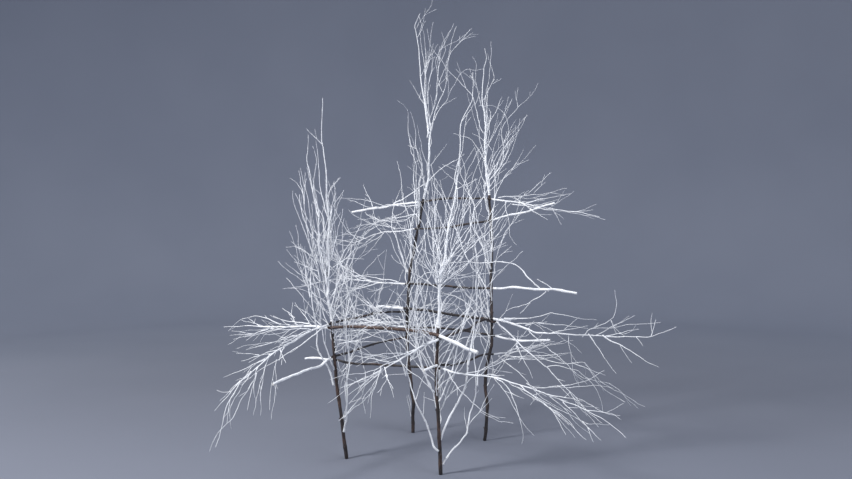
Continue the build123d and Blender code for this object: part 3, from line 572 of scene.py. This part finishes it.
def bark_line(points, edges):
    """Points and radii along a notched length of branch, from end to end."""
    middle = points.mean(axis=0)
    axis = np.linalg.svd(points[::7] - middle, full_matrices=False)[2][0]
    side = np.cross(axis, (0.3, 0.5, 0.8))
    side /= norm(side)
    other = np.cross(axis, side)
    along = (points - middle) @ axis
    start, end = along[edges[:, 0]], along[edges[:, 1]]
    line, radii = [], []
    for cut in np.arange(along.min() + first_slice, along.max() - last_slice, slice_step):
        crossing = (start < cut) != (end < cut)
        share = (cut - start[crossing]) / (end[crossing] - start[crossing])
        first, second = points[edges[crossing, 0]], points[edges[crossing, 1]]
        hits = first + (second - first) * share[:, None] - middle
        flat = np.column_stack((hits @ side, hits @ other))
        place, radius = circle_through(flat)
        line.append(middle + axis * cut + side * place[0] + other * place[1])
        radii.append(radius)
    line, radii = steadied(np.array(line), np.array(radii))
    for last, before, limit in ((0, 4, along.min()), (-1, -5, along.max())):
        heading = line[last] - line[before]
        heading /= norm(heading)
        lean = math.sqrt(max(0.0, 1 - (heading @ axis) ** 2))
        goal = limit - math.copysign(radii[last] * lean, limit)
        gone = (goal - (line[last] - middle) @ axis) / (heading @ axis)
        tip = line[last] + heading * gone
        line = np.vstack((tip, line)) if last == 0 else np.vstack((line, tip))
        radii = np.append(radii[0], radii) if last == 0 else np.append(radii, radii[-1])
    return line, radii


def steadied(line, radii):
    """The line and radii, with the slices that a joint has thrown off set right."""
    count = len(radii)
    for turn in range(3):
        for place in range(2, count - 2):
            near = [place - 2, place - 1, place + 1, place + 2]
            usual = line[near].mean(axis=0)
            usual_radius = np.median(radii[near])
            jump = norm(line[place] - usual)
            if jump > most_jump or abs(radii[place] - usual_radius) > most_swell:
                line[place] = usual
                radii[place] = usual_radius
    return line, radii


print("a bark length is cut every", slice_step, "m")

# %% [markdown]
# ## One record for each length of wood
#
# A `Limb` keeps the line, the thickness and the kind of one length of wood, and its node. The line is resampled every
# few millimetres, its corners are eased, and it gets the slight wobble of grown wood, which fades out at both ends,
# so that neighbouring lengths still meet. The wobble is noise read along the line, with a fixed seed, because there
# are too many twigs to bend by hand. The wood tapers a little more than the plain solid does.

# %% Limbs
sway_reach = {"bark": (0.0009, 0.0004), "stem": (0.0042, 0.0011), "twig": (0.0110, 0.0018),
              "shoot": (0.0130, 0.0020), "twiglet": (0.0022, 0.0012)}
sway_gain = 1.7
sway_ease = 0.03
slow_waves = 9
crooked_waves = 34
noise_seed = 5
seed_spread = 37
follow_reach = 0.12
slender = {"stem": (1.0, 0.84, 0.66), "twig": (0.92, 0.80, 0.62)}
taper_places = (0, 0.3, 1)
finest = {"back_left_post_crown": 0.66, "back_right_post_crown": 0.66, "second_back_rail_crown": 0.80,
          "top_back_rail_crown": 0.80, "front_stretcher_crown": 0.85}


class Limb:
    """One length of wood: a line, its radii, and what it is."""

    def __init__(self, node, kind, line, radii, coped, step):
        self.node = node
        self.kind = kind
        self.coped = coped
        self.butt = node.endswith("butt")
        self.line, self.radii, self.run = resampled(line, radii, step)
        self.straight = self.line.copy()
        if kind in slender and not self.butt:
            self.radii = self.radii * np.interp(self.run / self.run[-1], taper_places, slender[kind])
            if kind == "twig":
                self.radii = self.radii * finest.get(node, 1.0)

    def sway(self, follow=None):
        """Bend the line in slow and crooked waves. Follow is how far its base has moved."""
        slow, crooked = sway_reach[self.kind]
        slow = min(slow, 0.03 * self.run[-1])
        seed = Vector(tuple(self.straight[0] * seed_spread))
        for place, distance in enumerate(self.run):
            ease = min(1.0, distance / sway_ease, (self.run[-1] - distance) / sway_ease)
            if self.coped:
                ease = min(1.0, distance / sway_ease)
            wave = noise.noise_vector(seed + Vector((0, 0, distance * slow_waves))) * slow
            wave += noise.noise_vector(seed + Vector((5, 0, distance * crooked_waves))) * crooked
            self.line[place] += np.array(wave) * sway_gain * ease
            if follow is not None:
                self.line[place] += follow * max(0.0, 1 - distance / follow_reach)

    def heading(self, place):
        """The way the line runs at one of its points."""
        ahead = min(place + 1, len(self.line) - 1)
        behind = max(place - 1, 0)
        way = self.line[ahead] - self.line[behind]
        return way / norm(way)


def resampled(line, radii, step):
    """The line and its radii at even steps, with its corners eased."""
    pieces = norm(np.diff(line, axis=0), axis=1)
    run = np.concatenate(([0.0], np.cumsum(pieces)))
    count = max(6, int(round(run[-1] / step)) + 1)
    even = np.linspace(0, run[-1], count)
    fine = np.column_stack([np.interp(even, run, line[:, axis]) for axis in range(3)])
    thick = np.interp(even, run, radii)
    for turn in range(3):
        fine[1:-1] = fine[1:-1] * 0.5 + (fine[:-2] + fine[2:]) * 0.25
    return fine, thick, even


noise.seed_set(noise_seed)
print("a twig sways by up to", sway_reach["twig"][0] * sway_gain, "m")

# %% [markdown]
# Now every solid of every node becomes a limb. The thick ones sway first, and a twig moves with the spot of its
# parent that it grows from. Bent on its own, it would come off.

# %% Reading every limb
limb_step = 0.004
twig_step = 0.0045

limbs = []
for node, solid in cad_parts.items():
    if node.endswith("screws"):
        continue
    bare = not node.endswith(("crown", "butt", "shoots"))
    for points, edges in solids(solid.data):
        if bare:
            line, radii = bark_line(points, edges)
            if line[0][2] > line[-1][2]:
                line, radii = line[::-1].copy(), radii[::-1].copy()
            limbs.append(Limb(node, "bark", line, radii, False, limb_step))
        else:
            line, radii, coped = twig_line(points, edges)
            wood, step = ("twig", twig_step) if coped else ("stem", limb_step)
            limbs.append(Limb(node, wood, line, radii, coped, step))


def sway_all():
    """Sway bark and stems, then the twigs, each with the limb that its base lies on."""
    done_from = np.empty((0, 3))
    done_to = np.empty((0, 3))
    for limb in sorted(limbs, key=lambda limb: (limb.coped, -limb.radii[0])):
        follow = None
        if limb.coped:
            near = np.argmin(((done_from - limb.straight[0]) ** 2).sum(axis=1))
            follow = done_to[near] - done_from[near]
        limb.sway(follow)
        done_from = np.vstack((done_from, limb.straight))
        done_to = np.vstack((done_to, limb.line))


sway_all()
total = sum(limb.run[-1] for limb in limbs)
print("limbs:", len(limbs), "length", round(total, 1), "m")

# %% [markdown]
# ## Fine growth
#
# The finest growth has no solid. It comes in two sizes. Shoots are long and thin: they leave a stem or a twig at a
# slant, wander on in long bends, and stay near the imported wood, so that each crown keeps its outline. Twiglets are
# short and sit on everything else. A rule grows both, because there are a thousand of them.
#
# The crowns differ in how dense and how upright they are, and a table of thickets says that. A row has the node,
# whether it grows on the bark below and not on the node itself, between which heights, the way it grows or None for
# its host's way, how many shoots, the least and the most slant in degrees, the shortest and the longest shoot, and
# how far they stray.

# %% Thickets
Thicket = collections.namedtuple("Thicket", "node host lowest highest heading count least most short long stray")
above_all = 2.0
whole = (False, 0, above_all, None)
rows = [
    ("front_left_leg_crown", False, 0.46, 0.66, (-0.12, -0.07, 1), 15, 2, 11, 0.26, 0.5, 0.026),
    ("front_left_leg_crown", False, 0.46, 0.74, (-0.45, -0.26, 0.85), 9, 4, 30, 0.12, 0.3, 0.06),
    ("front_left_leg_crown", False, 0.46, 0.66, (0.6, 0.3, 0.7), 6, 6, 36, 0.22, 0.42, 0.11),
    ("front_left_leg_shoots", *whole, 8, 10, 36, 0.14, 0.3, 0.05),
    ("front_left_leg_shoots", True, 0.2, 0.44, (0.06, 0.03, 1), 12, 6, 30, 0.2, 0.4, 0.06),
    ("front_left_leg_shoots", True, 0.28, 0.44, (0.75, 0.35, 0.45), 8, 6, 40, 0.2, 0.4, 0.09),
    ("front_right_leg_crown", False, 0.57, 0.64, None, 15, 12, 56, 0.32, 0.6, 0.11),
    ("front_right_leg_crown", False, 0.64, 1.3, None, 8, 12, 40, 0.16, 0.36, 0.07),
    ("front_right_leg_shoots", *whole, 8, 12, 44, 0.16, 0.4, 0.065),
    ("front_right_leg_shoots", True, 0.18, 0.45, (0.26, 0.15, 0.95), 14, 8, 44, 0.24, 0.5, 0.09),
    ("left_seat_rail_shoots", True, 0.3, 0.6, (0.7, -0.5, 0.05), 5, 6, 44, 0.22, 0.5, 0.1),
    ("front_right_leg_shoots", True, 0.25, 0.45, (-0.3, -0.17, 0.93), 9, 8, 44, 0.2, 0.44, 0.08),
    ("back_left_post_crown", False, 0, 1.45, None, 4, 6, 24, 0.25, 0.44, 0.045),
    ("back_left_post_shoots", *whole, 8, 16, 50, 0.2, 0.44, 0.07),
    ("back_left_post_shoots", True, 0.26, 0.56, (0.26, 0.1, 0.95), 14, 8, 44, 0.22, 0.5, 0.08),
    ("back_left_post_shoots", True, 0.56, 0.86, (0.04, 0.02, 1), 8, 3, 14, 0.35, 0.65, 0.08),
    ("back_right_post_crown", *whole, 2, 10, 36, 0.25, 0.5, 0.06),
    ("back_right_post_crown", False, 0.85, 1.1, (0.42, 0.24, 0.88), 5, 4, 26, 0.22, 0.42, 0.08),
    ("back_right_post_shoots", *whole, 8, 14, 46, 0.2, 0.5, 0.08),
    ("back_right_post_shoots", True, 0.3, 0.6, (-0.26, -0.15, 0.95), 14, 8, 40, 0.24, 0.55, 0.09),
    ("back_right_post_shoots", True, 0.55, 0.9, (-0.12, -0.07, 1), 6, 3, 16, 0.35, 0.66, 0.08),
    ("left_seat_rail_shoots", *whole, 5, 10, 36, 0.16, 0.34, 0.05),
    ("front_seat_rail_crown", *whole, 3, 8, 28, 0.16, 0.34, 0.045),
    ("left_seat_rail_crown", *whole, 10, 6, 24, 0.18, 0.4, 0.04),
    ("right_seat_rail_crown", *whole, 8, 16, 50, 0.16, 0.4, 0.07),
    ("back_seat_rail_crown", *whole, 8, 10, 36, 0.18, 0.44, 0.055),
    ("front_stretcher_crown", *whole, 5, 8, 30, 0.2, 0.5, 0.055),
    ("left_stretcher_crown", *whole, 20, 16, 52, 0.18, 0.44, 0.07),
    ("right_stretcher_crown", *whole, 5, 10, 36, 0.2, 0.44, 0.055),
    ("back_stretcher_crown", *whole, 20, 14, 50, 0.18, 0.44, 0.07),
    ("middle_back_rail_crown", *whole, 8, 14, 56, 0.16, 0.4, 0.075),
    ("second_back_rail_crown", *whole, 5, 14, 60, 0.16, 0.34, 0.065),
    ("top_back_rail_crown", *whole, 4, 10, 34, 0.2, 0.4, 0.05)]
thickets = []
for node, on_bark, *growth in rows:
    thickets.append(Thicket(node, node.removesuffix("_shoots") if on_bark else node, *growth))
print("thickets:", len(thickets), "shoots at most:", sum(thicket.count for thicket in thickets))

# %% [markdown]
# ### Room for new wood
#
# Real twigs seldom grow through each other. A search tree over all points of the wood quickly gives the distance to
# the nearest surface, so that a new twig can stop before it.

# %% Room for new wood
box_margin = 0.002
clearance = 0.0012


class Wood:
    """A search tree over every point of every limb."""

    def __init__(self, all_limbs):
        self.thick = [float(radius) for limb in all_limbs for radius in limb.radii]
        self.tree = kdtree.KDTree(len(self.thick))
        for number, point in enumerate(point for limb in all_limbs for point in limb.line):
            self.tree.insert(Vector(tuple(point)), number)
        self.tree.balance()

    def room(self, point):
        """Distance from a point to the nearest wood."""
        number, gap = self.tree.find(point)[1:]
        return gap - self.thick[number]

    def takes(self, line, thick, reach):
        """How many points of the line lie in the box, clear of the wood and in reach of it."""
        for place, point in enumerate(line):
            for axis in range(3):
                if not cad_low[axis] + box_margin < point[axis] < cad_high[axis] - box_margin:
                    return place
            if place >= 2:
                room = self.room(point)
                if room < thick + clearance or room > reach:
                    return place
        return len(line)


print("new wood keeps", clearance, "m clear of the old")

# %% [markdown]
# ### A bent line
#
# A shoot turns slowly as it grows, about an axis that drifts, and leans a little towards the light. A walk in small
# steps gives just that, where a fixed curve would look the same on every twig.

# %% Bent line
bend_change = 0.45
axis_drift = 0.25
to_light = Vector((0, 0, 0.012))


def any_way(chance):
    """A loose vector in any direction."""
    return Vector([chance.gauss(0, 1) for axis in range(3)])


def bent_line(start, heading, slant, length, count, chance, homing, curl):
    """A line that leaves its start at a slant from the heading and wanders on in long bends.

    The curl is its usual bend in radians for each metre. The homing draws it back towards the heading.
    """
    heading = Vector(tuple(heading))
    across = heading.cross(any_way(chance)).normalized()
    way = heading * math.cos(slant) + across * math.sin(slant)
    axis = way.cross(any_way(chance)).normalized()
    bend = chance.gauss(0, curl)
    here = Vector(tuple(start))
    line = [here.copy()]
    for turn in range(count):
        bend += chance.gauss(0, curl * bend_change)
        axis = (axis + any_way(chance) * axis_drift).normalized()
        way = way + axis.cross(way) * bend * length / count + heading * homing + to_light
        way.normalize()
        here = here + way * length / count
        line.append(here.copy())
    return line


def limb_from(node, kind, line, thick, thin, step):
    """A swayed limb along a line, tapered from thick to thin."""
    points = np.array([tuple(point) for point in line])
    limb = Limb(node, kind, points, np.linspace(thick, thin, len(points)), True, step)
    limb.sway()
    return limb


print("a shoot leans by", to_light.z, "up at each step")

# %% [markdown]
# ### Shoots
#
# Each thicket picks a spot on its host by chance and grows a line from it. The line is cut where it comes too near
# other wood or strays too far, and dropped if too little is left. The chance is seeded with the node's name, so the
# same growth comes back every time. Short shoots curl more than long ones, as on real branches.

# %% Shoots
shoot_curl = 4.2
curl_length = 0.3
most_homing = 0.05
shoot_steps = 14
least_steps = 9
tries = 16
stem_weight = 1.6
host_length = 0.12
host_share = 0.72
shoot_tip = 0.0005


def shoot_places(thicket):
    """The long limbs of the thicket's host, with their places for shoots."""
    found = []
    for limb in limbs:
        if limb.node != thicket.host or limb.run[-1] < host_length:
            continue
        heights = limb.line[:, 2]
        along = limb.run / limb.run[-1]
        most = 1.0 if limb.kind == "bark" else host_share
        places = np.flatnonzero((heights > thicket.lowest) & (heights < thicket.highest) & (along < most))
        if len(places) > 4:
            found.append((limb, places[2:]))
    return found


def grow_shoots():
    """Long thin shoots on bark, stems and twigs."""
    grown = []
    for number, thicket in enumerate(thickets):
        chance = random.Random(f"{thicket.node} {number}")
        wood = Wood(limbs + grown)
        hosts = shoot_places(thicket)
        weights = [len(places) * (stem_weight if limb.kind == "stem" else 1.0) for limb, places in hosts]
        made = 0
        for attempt in range(thicket.count * tries):
            host, places = chance.choices(hosts, weights)[0]
            place = int(chance.choice(list(places)))
            heading = Vector(thicket.heading or tuple(host.heading(place))).normalized()
            length = chance.uniform(thicket.short, thicket.long)
            slant = math.radians(chance.uniform(thicket.least, thicket.most))
            homing = chance.uniform(0.0, most_homing)
            curl = shoot_curl * (curl_length / length) ** 0.7
            line = bent_line(host.line[place], heading, slant, length, shoot_steps, chance, homing, curl)
            taken = wood.takes(line, 0.0012, thicket.stray)
            if taken < least_steps:
                continue
            line = line[:taken]
            length *= taken / (shoot_steps + 1)
            thick = min(0.0009 + 0.0028 * length, 0.7 * float(host.radii[place]))
            grown.append(limb_from(thicket.node, "shoot", line, thick, shoot_tip, 0.005))
            made += 1
            if made == thicket.count:
                break
    return grown


shoots = grow_shoots()
limbs += shoots
print("shoots:", len(shoots))

# %% [markdown]
# ### Twiglets
#
# The last and finest growth: short curled twiglets all along the twigs, the shoots and the stems. A crown with many
# shoots of its own gets fewer.

# %% Twiglets
twiglet_length = (0.020, 0.095)
twiglet_slant = (24, 50)
twiglet_curl = 9.0
twiglet_tries = 5
twiglet_steps = 5
twiglet_spacing = (0.06, 0.19)
usual_gap = 1.5
twiglet_gap = {"back_left_post": 8.0, "back_right_post": 4.0, "front_left_leg": 3.0, "left_seat_rail": 2.4,
               "front_seat_rail": 2.4, "front_stretcher": 2.2, "back_seat_rail": 2.2, "top_back_rail": 2.2,
               "second_back_rail": 2.2}


def grow_twiglets():
    """Short twiglets along every twig, shoot and stem."""
    wood = Wood(limbs)
    grown = []
    for number, limb in enumerate(limbs):
        if limb.kind == "bark" or limb.butt:
            continue
        chance = random.Random(f"{limb.node} {number}")
        distance = limb.run[-1] * 0.2 + chance.uniform(0, 0.03)
        while distance < limb.run[-1] - 0.012:
            place = int(np.searchsorted(limb.run, distance))
            for attempt in range(twiglet_tries):
                length = chance.uniform(*twiglet_length) * chance.uniform(0.6, 1.0)
                slant = math.radians(chance.uniform(*twiglet_slant))
                line = bent_line(limb.line[place], limb.heading(place), slant, length, twiglet_steps, chance,
                                 0.04, twiglet_curl)
                if wood.takes(line, 0.0008, 0.2) == len(line):
                    thick = min(0.0009, float(limb.radii[place]) * 0.75)
                    grown.append(limb_from(limb.node, "twiglet", line, thick, 0.00045, 0.006))
                    break
            gap = twiglet_gap.get(limb.node.removesuffix("_crown"), usual_gap)
            distance += chance.uniform(*twiglet_spacing) * gap
    return grown


twiglets = grow_twiglets()
limbs += twiglets
print("twiglets:", len(twiglets))

# %% [markdown]
# ## From line to wood
#
# A limb becomes a closed tube. A cylinder is made straight, with one ring for each point of the limb's line, and then
# each ring is moved to its point. A curve with a bevel would do for one twig. This is quicker for many, because a
# straight tube is made once for each size and then only copied. So is the bud, a small pointed ball.

# %% Straight tubes and a bud
bud_width = 0.42
bud_point = 0.45
straight_tubes = {}


def straight_tube(rings, sides, sawn):
    """A closed tube with 0 to 2 sawn ends, and the ring and the angle of each of its points."""
    size = (rings, sides, sawn)
    if size not in straight_tubes:
        bm = bmesh.new()
        bmesh.ops.create_cone(bm, cap_ends=True, segments=sides, radius1=1, radius2=1, depth=rings - 1)
        long_edges = [edge for edge in bm.edges if abs(edge.verts[0].co.z - edge.verts[1].co.z) > 0.5]
        bmesh.ops.subdivide_edges(bm, edges=long_edges, cuts=rings - 2)
        bm.normal_update()
        for face in bm.faces:
            face.smooth = abs(face.normal.z) < 0.5
            if face.normal.z < -0.5 and sawn > 0 or face.normal.z > 0.5 and sawn > 1:
                face.material_index = 1
        mesh = mesh_of(bm, "straight_tube")
        points = points_of(mesh)
        ring = np.rint(points[:, 2] + (rings - 1) / 2).astype(int)
        straight_tubes[size] = (mesh, ring, np.arctan2(points[:, 1], points[:, 0]))
    return straight_tubes[size]


def bud_shape():
    """A small ball drawn out to a point."""
    bm = bmesh.new()
    bmesh.ops.create_icosphere(bm, subdivisions=1, radius=1)
    bmesh.ops.scale(bm, vec=(bud_width, bud_width, 1.0), verts=bm.verts)
    for vert in bm.verts:
        narrow = 1 - bud_point * max(0.0, vert.co.z)
        vert.co.x *= narrow
        vert.co.y *= narrow
    for face in bm.faces:
        face.smooth = True
    mesh = mesh_of(bm, "bud")
    return mesh, points_of(mesh)


bud_mesh, bud_points = bud_shape()
print("a bud has", len(bud_mesh.polygons), "faces")

# %% [markdown]
# ### Knuckles and taper
#
# A twig is a little thicker wherever a bud or a leaf once sat, and at its base, where it grows out of its parent. The
# radii along the line swell there. Every thin tip swells once more, into its last bud.

# %% Knuckles and taper
knuckle_spacing = {"bark": (0.03, 0.085), "stem": (0.035, 0.075), "twig": (0.022, 0.045),
                   "shoot": (0.02, 0.036), "twiglet": (0.014, 0.024)}
knuckle_swell = {"bark": 0.10, "stem": 0.13, "twig": 0.22, "shoot": 0.28, "twiglet": 0.32}
knuckle_width = {"bark": 0.006, "stem": 0.004, "twig": 0.0024, "shoot": 0.0020, "twiglet": 0.0018}
collar_swell = 0.35
tip_swell, tip_place, tip_width = 0.5, 0.0035, 0.0018
tip_end = 0.35


def knuckles(limb, chance):
    """Distances of the knuckles along a limb."""
    low, high = knuckle_spacing[limb.kind]
    found = []
    distance = chance.uniform(low, high)
    while distance < limb.run[-1] - low * 0.5:
        found.append(distance)
        distance += chance.uniform(low, high)
    return found


def swollen(limb, marks):
    """The limb's radii with knuckles, a collar at the base and a bud at the tip."""
    radii = limb.radii.copy()
    for mark in marks:
        radii *= 1 + knuckle_swell[limb.kind] * np.exp(-((limb.run - mark) / knuckle_width[limb.kind]) ** 2)
    if limb.coped:
        radii *= 1 + collar_swell * np.exp(-limb.run / (3.0 * limb.radii[0]))
    if limb.kind in ("twig", "shoot", "twiglet") or limb.kind == "stem" and limb.node.endswith("crown"):
        to_tip = limb.run[-1] - limb.run
        radii *= 1 + tip_swell * np.exp(-((to_tip - tip_place) / tip_width) ** 2)
        radii[-1] = radii[-1] * tip_end
    return radii


def frames(line):
    """Two directions across the line at each of its points, without twist."""
    ways = [Vector(tuple(way)).normalized() for way in np.gradient(line, axis=0)]
    across = ways[0].orthogonal().normalized()
    first, second = [], []
    for way in ways:
        across = (across - way * across.dot(way)).normalized()
        first.append(across)
        second.append(way.cross(across))
    return np.array(first), np.array(second)


print("largest radius of the first limb:", swollen(limbs[0], []).max(), "m")

# %% [markdown]
# ### A heap of wood
#
# Joining hundreds of objects is slow, so each piece is gathered first and written once: copies of the tubes and buds
# go into one mesh in a row, and their points, grain and paint are kept in lists in the same order. The sections are
# never quite round: two slow waves run round and along the wood, most on the thick butts.

# %% Heap of wood
tube_sides = {"bark": 22, "stem": 14, "twig": 8, "shoot": 6, "twiglet": 5}
section_wave = {"bark": 0.07, "stem": 0.06, "twig": 0.05}
butt_wave = 2.0
wave_ease = 0.02
foot_rings = 6


class Heap:
    """The tubes and buds of one piece."""

    def __init__(self):
        self.bm = bmesh.new()
        self.places, self.grain, self.paint = [], [], []

    def add(self, mesh, places, grain, paint):
        """Copy a mesh, and keep what its points will be."""
        self.bm.from_mesh(mesh)
        self.places.append(places)
        self.grain.append(grain)
        self.paint.append(paint)

    def add_tube(self, limb, radii, paint, sawn, chance):
        """Bend a straight tube onto the limb."""
        mesh, ring, angle = straight_tube(len(limb.line), tube_sides[limb.kind], sawn)
        first, second = frames(limb.line)
        run = limb.run[ring]
        ease = np.clip(np.minimum(run, limb.run[-1] - run) / wave_ease, 0, 1)
        turn, other = chance.uniform(0, math.tau), chance.uniform(0, math.tau)
        lobes = 0.6 * np.sin(2 * angle + turn + 70 * run) + 0.4 * np.sin(3 * angle + other - 110 * run)
        wave = section_wave.get(limb.kind, 0.0) * (butt_wave if limb.butt else 1)
        reach = radii[ring] * (1 + wave * ease * lobes)
        cosine, sine = np.cos(angle), np.sin(angle)
        places = limb.line[ring] + first[ring] * (cosine * reach)[:, None] + second[ring] * (sine * reach)[:, None]
        if limb.kind == "bark" and limb.node.endswith(("leg", "post")):
            foot = ring < foot_rings
            places[foot, 2] = np.maximum(places[foot, 2], 0)
        offset = np.array([chance.uniform(0, 3) for axis in range(3)])
        grain = offset + np.column_stack((cosine * radii[ring], sine * radii[ring], run))
        self.add(mesh, places, grain, paint[ring])

    def add_bud(self, root, way, size, offset):
        """Put a bud on the wood, with its point along the way."""
        across = way.orthogonal().normalized()
        turned = np.array((across, way.cross(across), way))
        shape = bud_points * size
        self.add(bud_mesh, np.array(root) + shape @ turned, shape + offset, np.zeros(len(shape)))

    def finish(self, name, warm):
        """One mesh of all that was added."""
        mesh = mesh_of(self.bm, name)
        mesh.vertices.foreach_set("co", np.concatenate(self.places).ravel())
        grain = mesh.attributes.new("grain", "FLOAT_VECTOR", "POINT")
        grain.data.foreach_set("vector", np.concatenate(self.grain).ravel())
        for key, values in (("paint", np.concatenate(self.paint)), ("warmth", np.full(len(mesh.vertices), warm))):
            mesh.attributes.new(key, "FLOAT", "POINT").data.foreach_set("value", values)
        mesh.update()
        return mesh


print("sides of a tube:", tube_sides)

# %% [markdown]
# ### Paint lines and buds
#
# Paint meets both ends of a rail or stretcher, and only the top of a leg or post, whose foot stands on the floor.
# Buds sit at the knuckles, in a spiral as on most trees, and a bud on thick wood is larger, as a knot. One angle,
# added at each knuckle, turns them all.

# %% Paint lines and buds
paint_edge = 0.011
bud_turn = 137
bud_depth = 0.85
bud_lean = 0.75
largest_bud = 0.0032
least_bud = 0.0014
bud_share = 0.4
knot_size = (1.1, 1.9)


def paint_along(limb):
    """The paint attribute along a limb: 1 at a paint line and 0 further in."""
    paint = np.zeros(len(limb.run))
    if limb.kind != "bark":
        return paint
    paint = np.maximum(paint, 1 - (limb.run[-1] - limb.run) / paint_edge)
    if not limb.node.endswith(("leg", "post")):
        paint = np.maximum(paint, 1 - limb.run / paint_edge)
    return np.clip(paint, 0, 1)


def bud_all(heap, limb, radii, marks, number, chance):
    """A bud at each knuckle, each further round than the last."""
    turn = chance.uniform(0, math.tau)
    for mark in marks:
        place = int(np.searchsorted(limb.run, mark))
        way = Vector(tuple(limb.heading(place)))
        turn += math.radians(bud_turn)
        across = way.orthogonal().normalized()
        side = across * math.cos(turn) + way.cross(across) * math.sin(turn)
        root = Vector(tuple(limb.line[place])) + side * float(radii[place]) * bud_depth
        lean = (side * bud_lean + way).normalized()
        size = min(largest_bud, least_bud + bud_share * float(limb.radii[place]))
        if limb.kind == "bark" or limb.butt:
            size *= chance.uniform(*knot_size)
        heap.add_bud(root + lean * size * 0.5, lean, size, np.array((mark, number, 0)))


print("paint runs", paint_edge, "m onto the bark")

# %% [markdown]
# ## A piece for every node
#
# All limbs of one node go into one mesh, which rides on the chair's one body, gets the bark or the white paint and
# replaces the node, which is hidden. So each branch can still be shown or changed alone.

# %% Pieces
warmth_of = {"front_seat_rail": 1.0, "front_left_leg": 0.45, "front_right_leg": 0.35, "right_seat_rail": 0.30}
usual_warmth = 0.1


def dress(node, mine):
    """Build the piece that stands for one node."""
    heap = Heap()
    for number, limb in enumerate(mine):
        chance = random.Random(f"{node} limb {number}")
        marks = knuckles(limb, chance)
        radii = swollen(limb, marks)
        sawn = 0 if limb.kind == "bark" else 2 if limb.kind == "stem" and limb.butt else 1
        heap.add_tube(limb, radii, paint_along(limb), sawn, chance)
        if limb.kind != "twiglet":
            bud_all(heap, limb, radii, marks, number, chance)
    bare = mine[0].kind == "bark"
    mesh = heap.finish(node, warmth_of.get(node, usual_warmth))
    mesh.materials.append(bark if bare else white)
    mesh.materials.append(white_end)
    piece = put(node + ("_bark" if bare else "_painted"), mesh)
    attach(piece, "root")
    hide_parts(node)
    return piece


nodes = sorted({limb.node for limb in limbs})
pieces = [dress(node, [limb for limb in limbs if limb.node == node]) for node in nodes]
for mesh in [bud_mesh] + [tube[0] for tube in straight_tubes.values()]:
    bpy.data.meshes.remove(mesh)
triangles = [sum(len(face.vertices) - 2 for face in piece.data.polygons) for piece in pieces]
print("pieces:", len(pieces), "triangles:", sum(triangles), "most in one:", max(triangles))

# %% [markdown]
# ## Screws
#
# The screws are nearly hidden in the joints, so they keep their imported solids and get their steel.

# %% Screws
for node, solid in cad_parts.items():
    if node.endswith("screws"):
        solid.data.materials.clear()
        solid.data.materials.append(steel)
        print(node, "is steel")

# %% [markdown]
